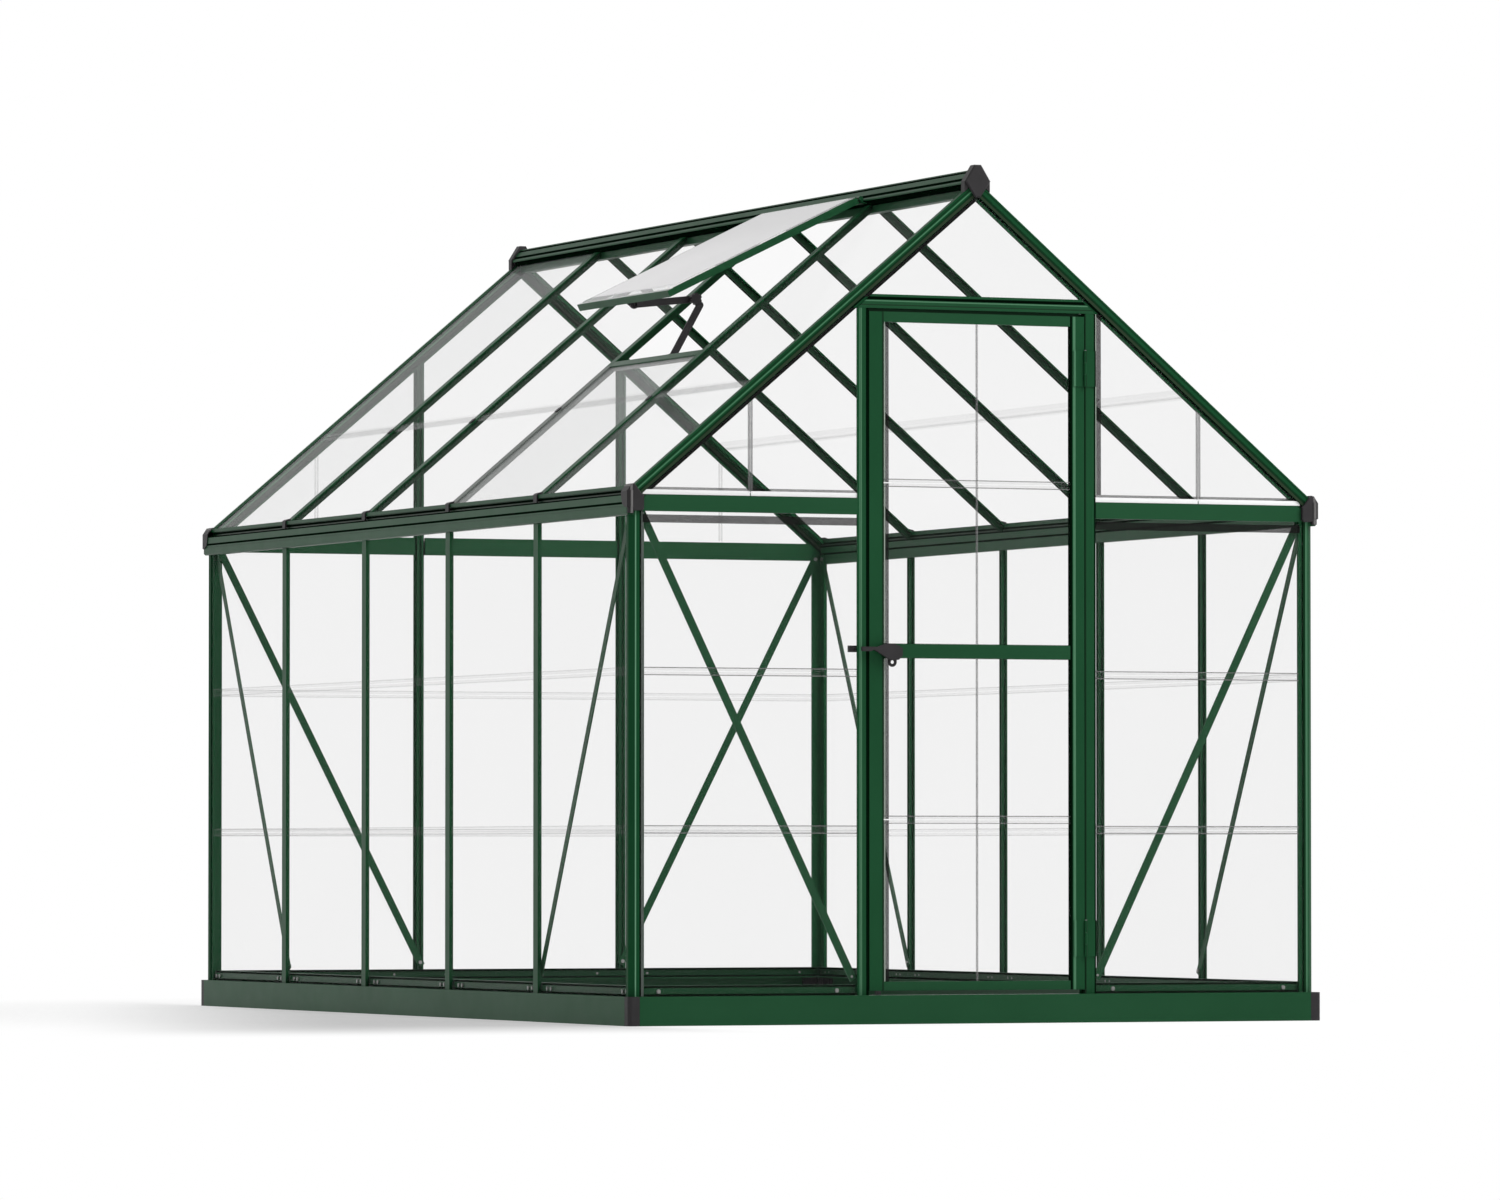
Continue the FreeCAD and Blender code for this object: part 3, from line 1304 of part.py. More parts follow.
# Door panes in two columns, with clear strips between them
door_pane_out = door_half - stile_core - pane_edge_gap
lower_pane_low = door_low + bottom_rail_height - rail_groove + pane_edge_gap
lower_pane_high = mid_rail_centre - mid_core - pane_edge_gap
upper_pane_low = mid_rail_centre + mid_core + pane_edge_gap
upper_pane_high = door_high - top_rail_height + rail_groove - pane_edge_gap
lower_half = (lower_pane_low + lower_pane_high) / 2
upper_half = (upper_pane_low + upper_pane_high) / 2
door_rows = [
    (lower_pane_low, lower_half - web_half), (lower_half + web_half, lower_pane_high),
    (upper_pane_low, upper_half - web_half), (upper_half + web_half, upper_pane_high),
]
door_panes = []
for low, high in door_rows:
    door_panes.append(block(-door_pane_out, -web_half, pane_front - end_y, pane_back - end_y, low, high))
save("door_panes", both_sides(door_panes))
upright_spans = [
    (door_low + bottom_rail_height + seat_gap, mid_rail_centre - mid_half - seat_gap),
    (mid_rail_centre + mid_half + seat_gap, door_high - top_rail_height - seat_gap),
]
door_strips = []
for low, high in upright_spans:
    points = [front_point(t, d, low) for t, d in joiner_outline(door_joiner_width)]
    door_strips.append(prism(points, Vector(0, 0, high - low)))
level_near = door_joiner_width / 2 + seat_gap
level_strips = []
for seam in (lower_half, upper_half):
    points = [front_point(-rail_half, d, seam + t) for t, d in joiner_outline(joiner_height)]
    level_strips.append(prism(points, Vector(rail_half - level_near, 0, 0)))
save("door_pane_joiners", door_strips + both_sides(level_strips))
catch_x = -door_half + catch_offset
catch_low = base_height + pane_edge_gap
door_catch = block(catch_x, catch_x + catch_width, -end_y, door_lip_depth - end_y, catch_low, door_low)
save("door_catch", [door_catch])

# Door hinges on the right: barrels in front of the seam between stile and post
hinge_x = door_half + door_gap / 2
hinge_y = -end_y - hinge_stand_off
leaf_front = -end_y - hinge_leaf_thickness
neck_gap = hinge_barrel_radius + seat_gap
hinge_bore = hinge_pin_radius + running_clearance


def hinge_piece(direction, spans, middle):
    leaf_start = hinge_x + direction * neck_gap
    leaf_end = leaf_start + direction * hinge_leaf_width
    low = middle - hinge_height / 2
    high = middle + hinge_height / 2
    shapes = [block(min(leaf_start, leaf_end), max(leaf_start, leaf_end), leaf_front, -end_y, low, high)]
    for span_low, span_high in spans:
        rise = Vector(0, 0, span_high - span_low)
        shapes.append(rod(Vector(hinge_x, hinge_y, span_low), hinge_barrel_radius, rise))
        near = min(hinge_x, leaf_start)
        far = max(hinge_x, leaf_start)
        neck_back = leaf_front + hinge_leaf_thickness / 2
        shapes.append(block(near, far, leaf_front, neck_back, span_low, span_high))
    bore = rod(Vector(hinge_x, hinge_y, low - 1), hinge_bore, Vector(0, 0, hinge_height + 2))
    return fuse(shapes).cut(bore)


post_leaves = []
door_leaves = []
hinge_pins = []
for middle in (door_low + lower_hinge_rise, door_high - upper_hinge_drop):
    low = middle - hinge_height / 2
    high = middle + hinge_height / 2
    door_span = (middle - hinge_knuckle / 2, middle + hinge_knuckle / 2)
    post_spans = [(low, door_span[0] - seat_gap), (door_span[1] + seat_gap, high)]
    door_leaves.append(hinge_piece(-1, [door_span], middle))
    post_leaves.append(hinge_piece(1, post_spans, middle))
    pin = rod(Vector(hinge_x, hinge_y, low), hinge_pin_radius, Vector(0, 0, hinge_height))
    pin_head = rod(Vector(hinge_x, hinge_y, high), hinge_pin_head_radius, Vector(0, 0, hinge_pin_head))
    hinge_pins.append(fuse([pin, pin_head]))
save("hinge_post_leaves", post_leaves)
save("hinge_door_leaves", door_leaves)
save("hinge_pins", hinge_pins)

# Handle: a fan-shaped lever outside, a spindle through the middle rail, a short lever inside
lever_back = -handle_stand_off
lever_front = lever_back - handle_thickness
lever_sweep = Vector(0, handle_thickness, 0)
lever_points = [
    (-handle_length, handle_tip_high), (-handle_length, -handle_tip_low), (-handle_bend, -handle_tip_low),
    (-handle_neck, handle_tip_low), (-handle_fan_low_half, -handle_fan_low),
    (handle_fan_low_half, -handle_fan_low), (handle_fan_side, -handle_fan_side_low),
    (handle_fan_side, handle_fan_side_high), (0, handle_fan_high), (-handle_fan_high_in, handle_fan_high),
    (-handle_fan_start, handle_tip_high),
]


def at_handle(x, depth, z):
    return front_point(x - handle_x, depth, mid_rail_centre + z)


lever = prism([at_handle(x, lever_front, z) for x, z in lever_points], lever_sweep)
boss_back = -plate_thickness - seat_gap
boss = rod(at_handle(0, lever_front, 0), handle_boss_radius, Vector(0, boss_back - lever_front, 0))
inner_front = door_depth + inner_lever_gap
inner_back = inner_front + handle_thickness
spindle = rod(at_handle(0, boss_back, 0), spindle_radius, Vector(0, inner_back - boss_back, 0))
inner_boss = rod(at_handle(0, inner_front, 0), handle_boss_radius, lever_sweep)
inner_points = [
    (0, -inner_root_half), (-inner_lever_length, -inner_tip_half), (-inner_lever_length, inner_tip_half),
    (0, inner_root_half),
]
inner_lever = prism([at_handle(x, inner_front, z) for x, z in inner_points], lever_sweep)
inner_bore = rod(at_handle(0, inner_front, 0), spindle_bore, lever_sweep)
save("outer_handle", [fuse([lever, boss, spindle])])
save("inner_handle", [fuse([inner_boss, inner_lever]).cut(inner_bore)])

# Handle plate with the padlock eye, and the keeper on the door post
plate_sweep = Vector(0, plate_thickness, 0)
plate_outline = [
    (-plate_half_width, -plate_half_height), (plate_half_width, -plate_half_height),
    (plate_half_width, plate_half_height), (-plate_half_width, plate_half_height),
]
eye_outer = eye_radius + eye_border
eye_tab_outline = [
    (-eye_outer, -eye_drop), (eye_outer, -eye_drop), (eye_outer, -plate_half_height),
    (-eye_outer, -plate_half_height),
]
plate = prism([at_handle(x, -plate_thickness, z) for x, z in plate_outline], plate_sweep)
eye_tab = prism([at_handle(x, -plate_thickness, z) for x, z in eye_tab_outline], plate_sweep)
eye_centre = at_handle(0, -plate_thickness, -eye_drop)
plate = fuse([plate, eye_tab, rod(eye_centre, eye_outer, plate_sweep)])
plate = plate.cut(rod(eye_centre, eye_radius, plate_sweep))
plate = plate.cut(rod(at_handle(0, -plate_thickness, 0), spindle_bore, plate_sweep))
save("handle_plate", [plate])
keeper_x = -door_post_x + door_post_lip - seat_gap
keeper_low = mid_rail_centre - keeper_drop
keeper_high = keeper_low + keeper_height
keeper_front = wall_bar_depth + seat_gap - end_y
keeper_back = keeper_front + keeper_thickness
keeper = block(keeper_x - keeper_width, keeper_x, keeper_front, keeper_back, keeper_low, keeper_high)
save("latch_keeper", [keeper])
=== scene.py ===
# %% [markdown]
# # A greenhouse from frame to finish
# The shape comes ready from CAD: rails, bars, panes, a door and a roof vent, each already in place and riding on its
# moving body. This lesson gives every piece its finish, then adds a floor, soft light and a camera.
# Loading comes first.

# %% Load the frame
import math
import bpy
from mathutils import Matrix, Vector


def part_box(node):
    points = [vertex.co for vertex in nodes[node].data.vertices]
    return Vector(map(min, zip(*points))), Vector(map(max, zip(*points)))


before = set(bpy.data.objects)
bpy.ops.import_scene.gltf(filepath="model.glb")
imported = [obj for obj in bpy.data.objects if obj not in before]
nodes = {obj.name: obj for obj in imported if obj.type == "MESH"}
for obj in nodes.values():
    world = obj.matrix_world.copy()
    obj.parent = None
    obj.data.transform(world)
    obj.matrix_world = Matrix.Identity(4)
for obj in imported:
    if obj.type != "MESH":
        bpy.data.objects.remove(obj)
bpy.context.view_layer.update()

# %% [markdown]
# ## Shader sums as plain Python
# A finish is a small network of nodes. Drawing it by hand is slow to read, so a socket is wrapped in a class that knows
# plus, minus and times: writing `1 - mask` then adds the Math node by itself.
# Every other node comes from one method, which takes its type, its settings and what goes into its sockets.

# %% A socket that can be added and multiplied
class Wire:
    def __init__(self, finish, socket):
        self.finish = finish
        self.socket = socket

    def maths(self, operation, first, second):
        return self.finish.add("ShaderNodeMath", {"operation": operation}, {0: first, 1: second})

    def __add__(self, other):
        return self.maths("ADD", self, other)

    def __radd__(self, other):
        return self.maths("ADD", other, self)

    def __sub__(self, other):
        return self.maths("SUBTRACT", self, other)

    def __rsub__(self, other):
        return self.maths("SUBTRACT", other, self)

    def __mul__(self, other):
        return self.maths("MULTIPLY", self, other)

    def __rmul__(self, other):
        return self.maths("MULTIPLY", other, self)

    def size(self):
        return self.maths("ABSOLUTE", self, 0.0)

    def between(self, low, high):
        return self.near((low + high) / 2, (high - low) / 2)

    def near(self, value, reach):
        return self.finish.add("ShaderNodeMath", {"operation": "COMPARE"}, {0: self, 1: value, 2: reach})

    def rise(self, low, high):
        settings = {"interpolation_type": "SMOOTHSTEP"}
        return self.finish.add("ShaderNodeMapRange", settings, {"Value": self, "From Min": low, "From Max": high})


# %% A finish that builds its own nodes
class Finish:
    def __init__(self, owner):
        owner.use_nodes = True
        self.tree = owner.node_tree
        self.tree.nodes.clear()

    def add(self, kind, settings=None, sockets=None, out=0):
        made = self.tree.nodes.new(kind)
        for name, value in (settings or {}).items():
            if name == "stops":
                self.set_stops(made.color_ramp, value)
            else:
                setattr(made, name, value)
        for name, value in (sockets or {}).items():
            if isinstance(value, Wire):
                self.tree.links.new(value.socket, made.inputs[name])
            else:
                made.inputs[name].default_value = value
        return Wire(self, made.outputs[out]) if made.outputs else None

    def set_stops(self, ramp, stops):
        for element, (place, colour) in zip(ramp.elements, stops):
            element.position = place
            element.color = colour

    def place(self):
        return self.add("ShaderNodeTexCoord", out="Object")

    def axes(self):
        split = self.add("ShaderNodeSeparateXYZ", {}, {"Vector": self.place()}).socket.node
        return [Wire(self, split.outputs[axis]) for axis in "XYZ"]

    def noise(self, scale):
        return self.add("ShaderNodeTexNoise", {}, {"Vector": self.place(), "Scale": scale})

    def mix(self, mask, first, second):
        return self.add("ShaderNodeMix", {"data_type": "RGBA"}, {0: mask, 6: first, 7: second}, out=2)

    def tint(self, factor, dark, light):
        return self.add("ShaderNodeValToRGB", {"stops": [(0.3, dark), (0.7, light)]}, {"Fac": factor})

    def bump(self, height, strength, distance):
        return self.add("ShaderNodeBump", {}, {"Height": height, "Strength": strength, "Distance": distance})

    def slant(self, low, high):
        return self.add("ShaderNodeLayerWeight", {}, {"Blend": 0.5}, out="Facing").rise(low, high)

    def show(self, shader, kind="ShaderNodeOutputMaterial"):
        self.add(kind, {}, {"Surface": shader})


def dress(material, names):
    for name in names:
        slots = nodes[name].data.materials
        slots.clear()
        slots.append(material)
    print(material.name, "on", len(names), "nodes")


# %% [markdown]
# ## Green powder coat
# The frame is aluminium with a baked powder coat: a deep green that is matte straight on and picks up the pale room
# where it is seen at a slant. A low specular level keeps the green deep, and a fine bump gives the coat's slight
# orange-peel skin. A slow change of tone stops long rails from looking like one flat colour.
# A coat can carry marks, each a mask and a tone. A mark in the tone `shade` is painted groove shade: matte, with no
# shine.

# %% Make the green coat
deep_green = (0.005, 0.050, 0.017, 1.0)
fresh_green = (0.008, 0.060, 0.022, 1.0)
# painted shade for grooves, gaps and undersides
shade = (0.0012, 0.0060, 0.0025, 1.0)


def green_coat(name, level, marks, names):
    material = bpy.data.materials.new(name)
    paint = Finish(material)
    colour = paint.tint(paint.noise(3.0), deep_green, fresh_green)
    # painted shade of the grooves: the marks in the tone `shade`, drawn matte without shine
    groove_shade = 0.0
    for mask, tone in marks(*paint.axes()):
        colour = paint.mix(mask, colour, tone)
        if tone == shade:
            groove_shade = groove_shade + mask
    skin = paint.bump(paint.noise(600.0), strength=0.03, distance=0.0003)
    coat = paint.add(
        "ShaderNodeBsdfPrincipled", {},
        {
            "Base Color": colour, "Roughness": 0.34 + 0.10 * paint.noise(18.0), "Normal": skin,
            "Specular IOR Level": level,
        },
    )
    matte_shade = paint.add("ShaderNodeBsdfDiffuse", {}, {"Color": shade})
    paint.show(paint.add("ShaderNodeMixShader", {}, {0: groove_shade, 1: coat, 2: matte_shade}))
    dress(material, names)


# %% Coat the plain pieces
def no_marks(across, along, height):
    return []


plain_green_nodes = [
    "base_rail_front", "base_rail_back", "base_rail_left", "base_rail_right", "side_wall_bars", "back_wall_bars",
    "eave_ties_front", "eave_ties_back", "side_braces", "end_braces", "vent_hinge_rail", "vent_top_rail",
    "vent_bottom_rail", "vent_side_rails", "door_top_rail", "door_mid_rail", "door_bottom_rail",
]
green_coat("green_powder_coat", 0.13, no_marks, plain_green_nodes)

# %% [markdown]
# ## Painted shade and highlights of the roof
# The larger sections have fine grooves and undersides with painted shade, and ribs with a painted highlight. They run
# the whole length of a section, so a mark is a band of one coordinate, and a list of marks is laid over the green one
# by one. The rafters and roof bars lean, so their coordinate is the distance below the slope of the roof. One roof bar
# below the vent carries a painted pale reflection, and so does the lip of the vent's sill under the sheet.

# %% Mark the rafters
half_shade = (0.0030, 0.0240, 0.0080, 1.0)
# painted highlight along the ribs of the rafters, header, posts and stiles
painted_highlight = (0.060, 0.165, 0.090, 1.0)
olive = (0.022, 0.036, 0.020, 1.0)
roof_slope = math.radians(40.0)
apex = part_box("gable_rafters")[1][2]


def below_slope(across, height):
    return math.cos(roof_slope) * (apex - height) - math.sin(roof_slope) * across.size()


def left_of_ridge(across):
    return 1 - across.rise(-0.005, 0.005)


def rafter_marks(across, along, height):
    depth = below_slope(across, height)
    return [
        (depth.between(0.0043, 0.0073), half_shade),
        (left_of_ridge(across) * depth.between(0.0100, 0.0128), painted_highlight),
        (depth.between(0.0166, 0.0208), half_shade), (depth.between(0.0208, 0.0268), olive),
        (depth.between(0.0272, 0.0325), shade),
    ]


green_coat("rafter_coat", 0.04, rafter_marks, ["gable_rafters"])

# %% Mark the roof bars and the sill of the vent
# painted pale reflection on one roof bar below the vent
bar_reflection = (0.140, 0.158, 0.144, 1.0)
# painted pale reflection on the lip of the vent's sill under the sheet
lip_reflection = (0.185, 0.188, 0.180, 1.0)
vent_foot = 1.652


def roof_bar_marks(across, along, height):
    below_vent = 1 - height.rise(vent_foot - 0.002, vent_foot + 0.002)
    reflecting_bar = left_of_ridge(across) * along.between(-0.316, -0.284) * below_vent
    return [(below_slope(across, height).rise(0.0044, 0.0048), half_shade), (reflecting_bar, bar_reflection)]


def vent_sill_marks(across, along, height):
    return [(below_slope(across, height).rise(0.0048, 0.0052), lip_reflection)]


green_coat("roof_bar_coat", 0.08, roof_bar_marks, ["roof_bars"])
green_coat("vent_sill_coat", 0.13, vent_sill_marks, ["vent_sill"])

# %% [markdown]
# ## Painted shade and highlights of level and upright sections
# A level section has its grooves at set heights, and an upright one at set distances across the front. Each row of a
# table is one band: where it begins, where it ends, and its tone.

# %% Mark the level sections
def banded(coordinate, rows):
    return [(coordinate.between(low, high), tone) for low, high, tone in rows]


ridge_rows = [(2.0715, 2.0762, shade), (2.0520, 2.0585, shade), (2.0325, 2.0440, shade)]
gutter_rows = [
    (1.2780, 1.2835, shade), (1.2745, 1.2780, half_shade), (1.2698, 1.2745, shade), (1.2485, 1.2538, shade),
]
header_rows = [(1.7555, 1.7623, shade), (1.7506, 1.7535, painted_highlight), (1.7408, 1.7436, half_shade)]
sill_rows = [(0.0695, 0.0755, shade), (0.0900, 0.0955, shade)]


def level_coat(name, level, rows, names):
    green_coat(name, level, lambda across, along, height: banded(height, rows), names)


level_coat("ridge_coat", 0.07, ridge_rows, ["ridge_beam"])
level_coat("gutter_coat", 0.14, gutter_rows, ["gutter_left", "gutter_right"])
level_coat("header_coat", 0.12, header_rows, ["door_header"])
level_coat("sill_coat", 0.12, sill_rows, ["side_sills", "end_sills"])

# %% Mark the upright sections
# painted highlight along a rib of a corner post
rib_highlight = (0.100, 0.230, 0.140, 1.0)
# a pale grey band on a corner post, beside its dark groove
pale_grey_band = (0.090, 0.105, 0.095, 1.0)
corner_rows = [
    (-0.9018, -0.8980, rib_highlight), (-0.8895, -0.8835, shade), (-0.8835, -0.8770, pale_grey_band),
    (0.8848, 0.8934, half_shade), (0.8936, 0.8995, painted_highlight),
]
door_post_rows = [
    (-0.3139, -0.3075, painted_highlight), (-0.2970, -0.2890, shade), (0.2890, 0.2930, half_shade), (0.3150, 0.3191, shade),
]
stile_rows = [(0.2499, 0.2556, shade), (0.2580, 0.2645, painted_highlight), (-0.2545, -0.2499, half_shade)]
end_face = 1.5035


def corner_post_marks(across, along, height):
    outside = 1 - along.size().between(0.0, end_face)
    return [(outside * mask, tone) for mask, tone in banded(across, corner_rows)]


def upright_coat(name, level, rows, names):
    green_coat(name, level, lambda across, along, height: banded(across, rows), names)


green_coat("corner_post_coat", 0.04, corner_post_marks, ["corner_posts"])
upright_coat("door_post_coat", 0.08, door_post_rows, ["door_posts", "hinge_post_leaves"])
upright_coat("stile_coat", 0.08, stile_rows, ["door_stiles", "hinge_door_leaves"])

# %% [markdown]
# ## Black plastic
# Corner joints, end caps, clips, the vent's stay and the handle are moulded in black plastic. Mould texture scatters
# the shine, so the roughness is higher than the paint's and a fine grain goes into the bump. The end caps of the
# gutters have a painted grey highlight down one rib.

# %% Make the black plastic
dark_mould = (0.016, 0.015, 0.016, 1.0)
pale_mould = (0.024, 0.022, 0.024, 1.0)
# painted highlight down one rib of each gutter end cap
cap_rib_highlight = (0.120, 0.116, 0.116, 1.0)


def black_plastic(name, marks, names):
    material = bpy.data.materials.new(name)
    plastic = Finish(material)
    colour = plastic.tint(plastic.noise(12.0), dark_mould, pale_mould)
    for mask, tone in marks(*plastic.axes()):
        colour = plastic.mix(mask, colour, tone)
    plastic.show(plastic.add(
        "ShaderNodeBsdfPrincipled", {},
        {
            "Base Color": colour, "Roughness": 0.42 + 0.12 * plastic.noise(60.0), "Specular IOR Level": 0.2,
            "Normal": plastic.bump(plastic.noise(1400.0), strength=0.08, distance=0.0005),
        },
    ))
    dress(material, names)


def cap_marks(across, along, height):
    return [(across.size().between(0.9115, 0.9175), cap_rib_highlight)]


black_plastic("ribbed_cap", cap_marks, ["gutter_end_caps"])
black_nodes = [
    "base_corners", "ridge_caps", "roof_clips", "stay_knob", "outer_handle", "inner_handle", "handle_plate",
    "latch_keeper", "door_catch", "stay_lower_arm", "stay_upper_arm", "stay_sill_bracket", "stay_vent_bracket",
]
black_plastic("black_moulding", no_marks, black_nodes)

# %% [markdown]
# ## Clear sheet
# The panes are thin clear plastic sheet. A full glass shader would have to bend light through many thin layers, which
# is slow and noisy, and a sheet this thin bends nothing that the eye can see. So the sheet is a smooth surface that is
# nearly all see-through: a faint dark body dims the white room a little, and slow smears keep it from being even.
# A sheet can carry bands, each a mask and a tone. The fourth number of the tone says how much of the view it covers.

# %% Make the clear sheet
def plain_look(sheet, seen):
    return seen


def clear_finish(name, body, haze, look, bands, names):
    material = bpy.data.materials.new(name)
    sheet = Finish(material)
    smears = sheet.noise(1.6)
    colour = sheet.tint(smears, body, [1.15 * part for part in body[:3]] + [1.0])
    seen = look(sheet, haze * (0.85 + 0.3 * smears))
    for mask, tone in bands(*sheet.axes()):
        colour = sheet.mix(mask, colour, tone)
        seen = seen + tone[3] * mask
    sheet.show(sheet.add(
        "ShaderNodeBsdfPrincipled", {},
        {"Base Color": colour, "Roughness": 0.08 + 0.06 * smears, "Specular IOR Level": 0.15, "Alpha": seen},
    ))
    dress(material, names)


sheet_body = (0.11, 0.11, 0.11, 1.0)
wall_haze = 0.036
plain_pane_nodes = ["left_wall_panes", "right_wall_panes", "back_wall_panes"]
clear_finish("clear_wall_sheet", sheet_body, wall_haze, plain_look, no_marks, plain_pane_nodes)

# %% [markdown]
# ## Painted shade along the front edges
# At the front the sheets carry painted shade along edges beside the frame: a smoky band that dims what lies behind it,
# with a fine pale line where it meets the frame. Above the eave ties the sheet is backed with a white strip, and thin
# lines follow the middle rail of the door.

# %% Paint shade along the front sheets
# painted shade beside the frame, under the eave ties and along the rafter: a smoky band that dims what lies behind
painted_edge_shade = (0.004, 0.004, 0.0035, 0.60)
thin_line = (0.004, 0.004, 0.004, 0.42)
white_backing = (0.82, 0.82, 0.82, 0.96)
pale_edge = (0.30, 0.35, 0.30, 0.96)
strip_top = 1.2844
tie_top = 1.2909


def beside_door(across):
    return across.size().between(0.319, 0.880)


def front_wall_bands(across, along, height):
    return [(beside_door(across) * height.between(1.2052, 1.2244), painted_edge_shade)]


def gable_bands(across, along, height):
    front = 1 - along.rise(-0.1, 0.1)
    above = front * height.rise(tie_top - 0.0004, tie_top)
    return [
        (front * beside_door(across) * height.between(1.2729, strip_top), white_backing),
        (front * beside_door(across) * height.between(strip_top, tie_top), thin_line),
        (above * across.between(0.3222, 0.3350), painted_edge_shade), (above * across.between(0.3192, 0.3222), pale_edge),
        (above * left_of_ridge(across) * below_slope(across, height).between(0.0290, 0.0375), painted_edge_shade),
    ]


def door_bands(across, along, height):
    beside_stile = banded(across, [(-0.2500, -0.2350, painted_edge_shade), (-0.2474, -0.2446, pale_edge)])
    return beside_stile + banded(height, [(0.9192, 0.9216, thin_line), (0.8852, 0.8876, thin_line)])


clear_finish("edge_shaded_wall_sheet", sheet_body, wall_haze, plain_look, front_wall_bands, ["front_wall_panes"])
clear_finish("edge_shaded_gable_sheet", sheet_body, wall_haze, plain_look, gable_bands, ["gable_panes"])
clear_finish("edge_shaded_door_sheet", sheet_body, wall_haze, plain_look, door_bands, ["door_panes"])

# %% [markdown]
# ## Roof sheet
# The sheets of the roof face the sky. On the left slope some bays carry a painted pale sheen: the bay under the vent,
# a little of the bay in front of it below its seam, and the last bay at the back. The painted sheen is thin: it shows
# where the sheet is seen at a slant and is hardly there straight on.

# %% Make the roof sheet
seam_height = 1.549
# painted pale sheen on some bays of the left slope
sheen_grey = (0.63, 0.64, 0.64, 0.0)


def sheen_bays(along, height):
    below_seam = 1 - height.rise(seam_height - 0.002, seam_height + 0.002)
    return [
        (along.between(-0.90, -0.30), 0.15), (along.between(-1.60, -0.90) * below_seam, 0.035),
        (along.between(0.90, 1.60), 0.11),
    ]


def sheen_film(sheet, seen):
    across, along, height = sheet.axes()
    for bay, cover in sheen_bays(along, height):
        seen = seen + cover * bay * sheet.slant(0.50, 0.75)
    return seen


def sheen_tone(across, along, height):
    return [(bay, sheen_grey) for bay, cover in sheen_bays(along, height)]


clear_finish("sheened_roof_sheet", sheet_body, 0.045, sheen_film, sheen_tone, ["left_roof_panes"])
clear_finish("clear_roof_sheet", sheet_body, 0.030, plain_look, no_marks, ["right_roof_panes"])

# %% [markdown]
# ## Vent sheet
# The sheet of the vent is as clear as the others straight on. Seen almost edge-on, as when the vent stands open, it
# shows mostly a painted pale reflection and hardly what lies behind it. The painted reflection fills the sheet and
# fades out beside the near rail and the bottom rail. Towards the ridge it is a little greyer.

# %% Make the vent sheet
# painted pale reflection of the vent's sheet, and its greyer part towards the ridge
reflection_body = (0.55, 0.54, 0.55, 1.0)
grey_reflection = (0.43, 0.425, 0.43, 0.0)


# painted reflection that shows at a slant and fades beside the rails
def pale_reflection(sheet, seen):
    across, along, height = sheet.axes()
    inside_rails = across.rise(-0.530, -0.518) * along.rise(-0.870, -0.856)
    return seen + sheet.slant(0.55, 0.85) * (0.32 + 0.58 * inside_rails)


def greyer_above(across, along, height):
    return [(across.rise(-0.42, -0.10), grey_reflection)]


clear_finish("reflecting_vent_sheet", reflection_body, 0.03, pale_reflection, greyer_above, ["vent_pane"])

# %% [markdown]
# ## Clear joining strips
# Panes meet in clear plastic strips. A strip is see-through in its middle, and its two rims show as fine grey lines,
# found by their distance from the middle of the seam. The rims are crisp on the front wall and the door and fainter on
# the other walls. On the roof a strip is one soft grey band.

# %% Make the clear strips
rim_distance = 0.0088
rim_reach = 0.0013
wall_seams = (0.470, 0.849)
door_seams = (0.494, 1.311)


def rims(height, seams):
    total = 0.0
    for seam in seams:
        for side in (-1, 1):
            total = total + height.near(seam + side * rim_distance, rim_reach)
    return total


def wall_strip_look(sheet, seen):
    across, along, height = sheet.axes()
    front = 1 - along.rise(-1.500, -1.495)
    upright = (0.04 + 0.22 * front) * height.rise(1.284, 1.286)
    return seen + (0.05 + 0.25 * front) * rims(height, wall_seams) + upright


def roof_strip_look(sheet, seen):
    across, along, height = sheet.axes()
    left = left_of_ridge(across)
    band = 0.08 * left * height.near(seam_height - 0.0040, 0.0080)
    return seen + band + 0.05 * (1 - left) * height.near(seam_height - 0.0090, 0.0022)


def door_strip_look(sheet, seen):
    across, along, height = sheet.axes()
    return seen + 0.30 * rims(height, door_seams) + 0.35 * across.near(0.0, 0.0022)


strip_body = (0.16, 0.16, 0.16, 1.0)
strip_haze = 0.03
clear_finish("clear_wall_strip", strip_body, strip_haze, wall_strip_look, no_marks, ["wall_pane_joiners"])
clear_finish("clear_roof_strip", strip_body, strip_haze, roof_strip_look, no_marks, ["roof_pane_joiners"])
clear_finish("clear_door_strip", strip_body, strip_haze, door_strip_look, no_marks, ["door_pane_joiners"])

# %% [markdown]
# ## Zinc bolts
# Bolts and hinge pins are zinc-plated steel: a grey metal, a little uneven in its shine.

# %% Make the zinc
zinc = bpy.data.materials.new("zinc_plate")
plate = Finish(zinc)
spangle = plate.noise(220.0)
metal = plate.add(
    "ShaderNodeBsdfPrincipled", {},
    {
        "Base Color": plate.tint(spangle, (0.20, 0.20, 0.20, 1.0), (0.32, 0.32, 0.31, 1.0)),
        "Roughness": 0.35 + 0.2 * spangle, "Metallic": 1.0,
    },
)
plate.show(metal)
dress(zinc, ["sill_bolts", "brace_bolts", "hinge_pins"])

# %% [markdown]
# ## Floor
# The greenhouse stands on a plain white floor in a white room. For the camera, and for shine and see-through rays, the
# floor glows white, with a share of plain matte near the object so that real shadows show. A soft painted shadow lies
# along the left wall. Other rays see plain matte, so the floor adds no light of its own.

# %% Tell the rays that see the background
def background_rays(finish):
    kinds = finish.add("ShaderNodeLightPath").socket.node.outputs
    camera_ray, glossy_ray, through_ray = [
        Wire(finish, kinds[kind]) for kind in ("Is Camera Ray", "Is Glossy Ray", "Is Transmission Ray")
    ]
    return camera_ray + glossy_ray + through_ray


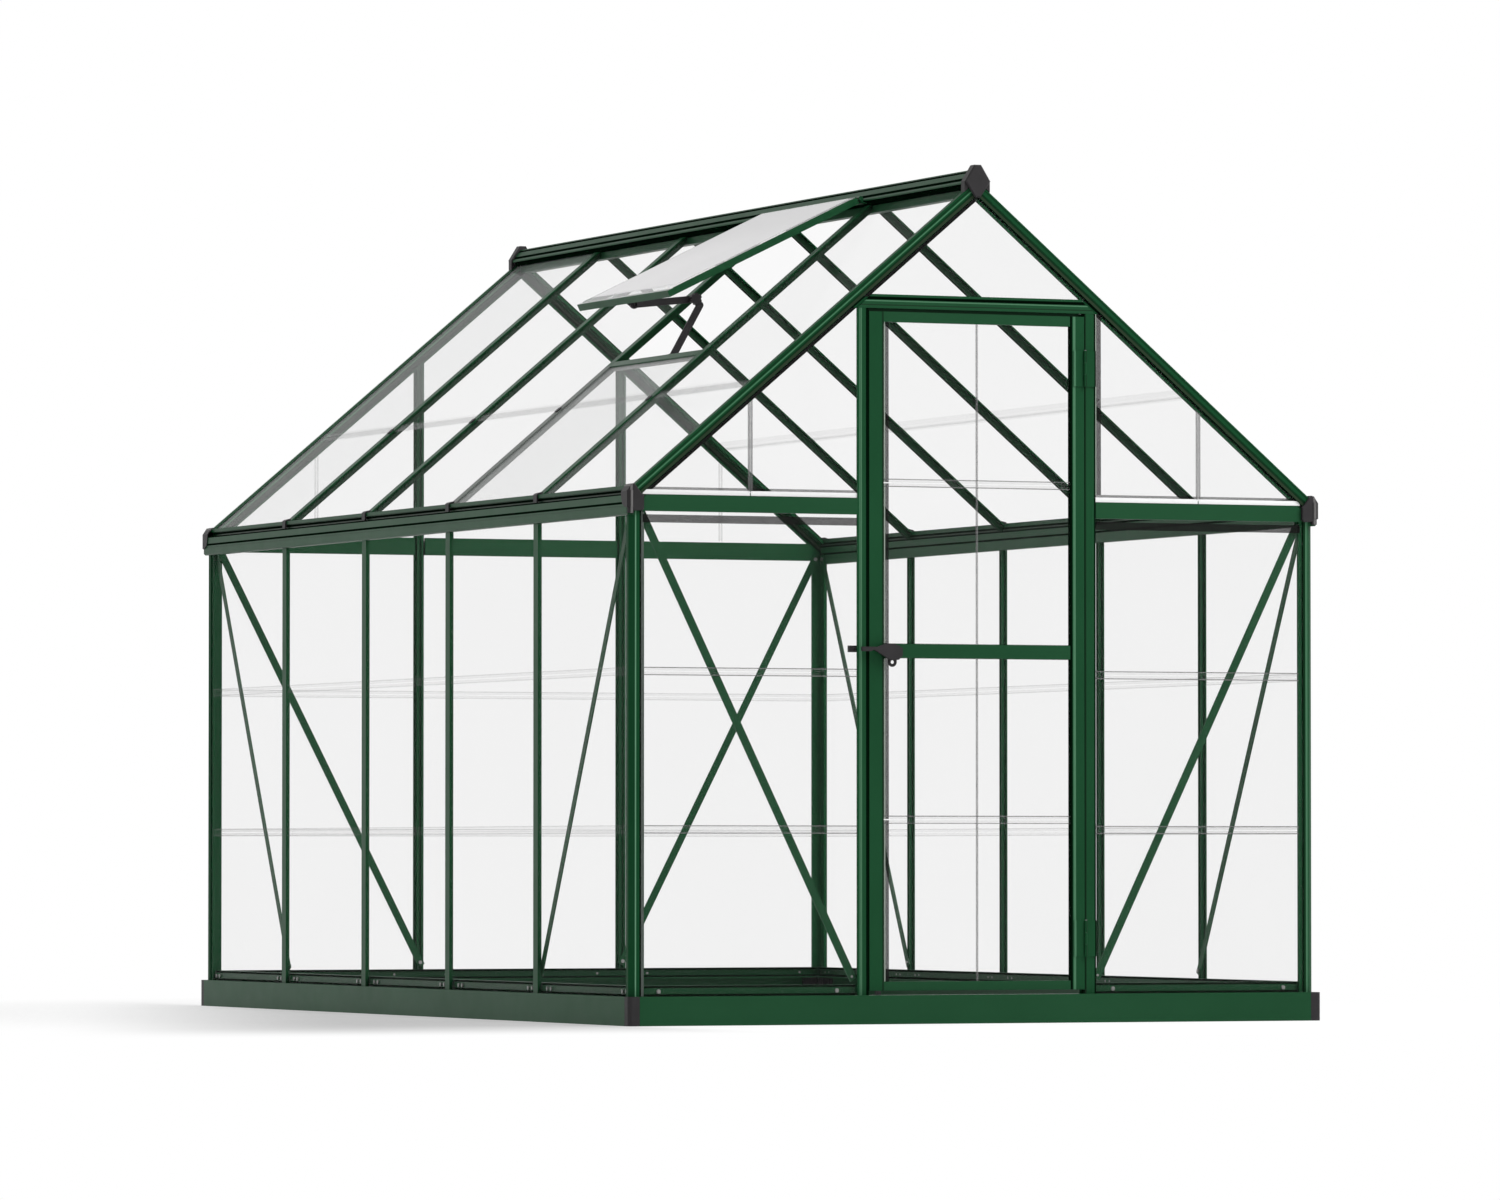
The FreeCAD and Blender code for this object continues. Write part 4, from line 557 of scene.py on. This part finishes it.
# %% Make the floor
white = (1.0, 1.0, 1.0, 1.0)
black = (0.0, 0.0, 0.0, 1.0)
# how dark the painted shadow is at its deepest
painted_shadow_depth = 0.52
matte_share = 0.25


# painted shadow along the left wall of the greenhouse
def painted_shadow_pool(floor_x, floor_y):
    slanted = 0.335 * floor_y - floor_x
    beside_wall = (1 - slanted.rise(1.05, 1.90)) * (1 - floor_x.rise(-1.0, -0.8))
    return beside_wall * floor_y.rise(-2.4, -1.2) * (1 - floor_y.rise(1.0, 3.0))


bpy.ops.mesh.primitive_plane_add(size=400.0, location=(0.0, 0.0, -0.0005))
floor = bpy.context.object
floor.name = "studio_floor"
ground = bpy.data.materials.new("white_floor")
screed = Finish(ground)
floor_x, floor_y = screed.axes()[:2]
glow_colour = screed.mix(painted_shadow_depth * painted_shadow_pool(floor_x, floor_y), white, black)
close_by = 1 - (floor_x * floor_x + floor_y * floor_y).rise(3.0, 9.0)
matte = screed.add("ShaderNodeBsdfDiffuse", {}, {"Color": (0.86, 0.86, 0.86, 1.0)})
glow = screed.add("ShaderNodeEmission", {}, {"Color": glow_colour, "Strength": 1.0})
lit = screed.add("ShaderNodeMixShader", {}, {0: 1 - matte_share * close_by, 1: matte, 2: glow})
screed.show(screed.add("ShaderNodeMixShader", {}, {0: background_rays(screed), 1: matte, 2: lit}))
floor.data.materials.append(ground)
print("floor at", floor.location.z)

# %% [markdown]
# ## Room
# The room is the light of the world around the object. What the camera sees of it is pure white, and what it sheds on
# the greenhouse is weaker, so that the colours render as they are written.

# %% Make the room
room_light = 0.55
room = bpy.data.worlds.new("white_room")
bpy.context.scene.world = room
air = Finish(room)
backdrop = air.add("ShaderNodeBackground", {}, {"Color": white, "Strength": 1.0})
soft = air.add("ShaderNodeBackground", {}, {"Color": white, "Strength": room_light})
mixed = air.add("ShaderNodeMixShader", {}, {0: background_rays(air), 1: soft, 2: backdrop})
air.show(mixed, "ShaderNodeOutputWorld")
print("room light", room_light)

# %% [markdown]
# ## Lamps
# One large soft lamp stands high at the front right, so the shadow falls softly to the left and behind. A weaker one
# from the left lifts the long wall.

# %% Hang the lamps
lamp_size = 5.0
lamp_aim = (0.0, 0.0, 0.8)


def soft_lamp(name, place, power):
    data = bpy.data.lights.new(name, "AREA")
    data.shape = "DISK"
    data.size = lamp_size
    data.energy = power
    lamp = bpy.data.objects.new(name, data)
    lamp.location = place
    lamp.rotation_mode = "QUATERNION"
    lamp.rotation_quaternion = (Vector(lamp_aim) - Vector(place)).to_track_quat("-Z", "Y")
    bpy.context.scene.collection.objects.link(lamp)
    print(name, "at", place)


soft_lamp("key_lamp", (5.0, -5.0, 8.0), 900.0)
soft_lamp("side_lamp", (-8.0, 2.0, 5.0), 60.0)

# %% [markdown]
# ## Camera
# The picture was taken from far away with a long lens, low over the ground and tilted slightly up. The place and the
# lens were worked out from the straight edges of the frame.

# %% Set the camera
tilt_up = 1.729
turn_right = 23.181
lens = bpy.data.cameras.new("camera")
lens.lens = 203.54
lens.sensor_width = 36.0
lens.clip_end = 500.0
camera = bpy.data.objects.new("camera", lens)
camera.location = (-8.6308, -20.2595, 0.4063)
camera.rotation_euler = (math.radians(90.0 + tilt_up), 0.0, math.radians(-turn_right))
bpy.context.scene.collection.objects.link(camera)
bpy.context.scene.camera = camera
bpy.context.scene.view_settings.view_transform = "Standard"
bpy.context.scene.cycles.transparent_max_bounces = 48
print("camera", tuple(camera.location))
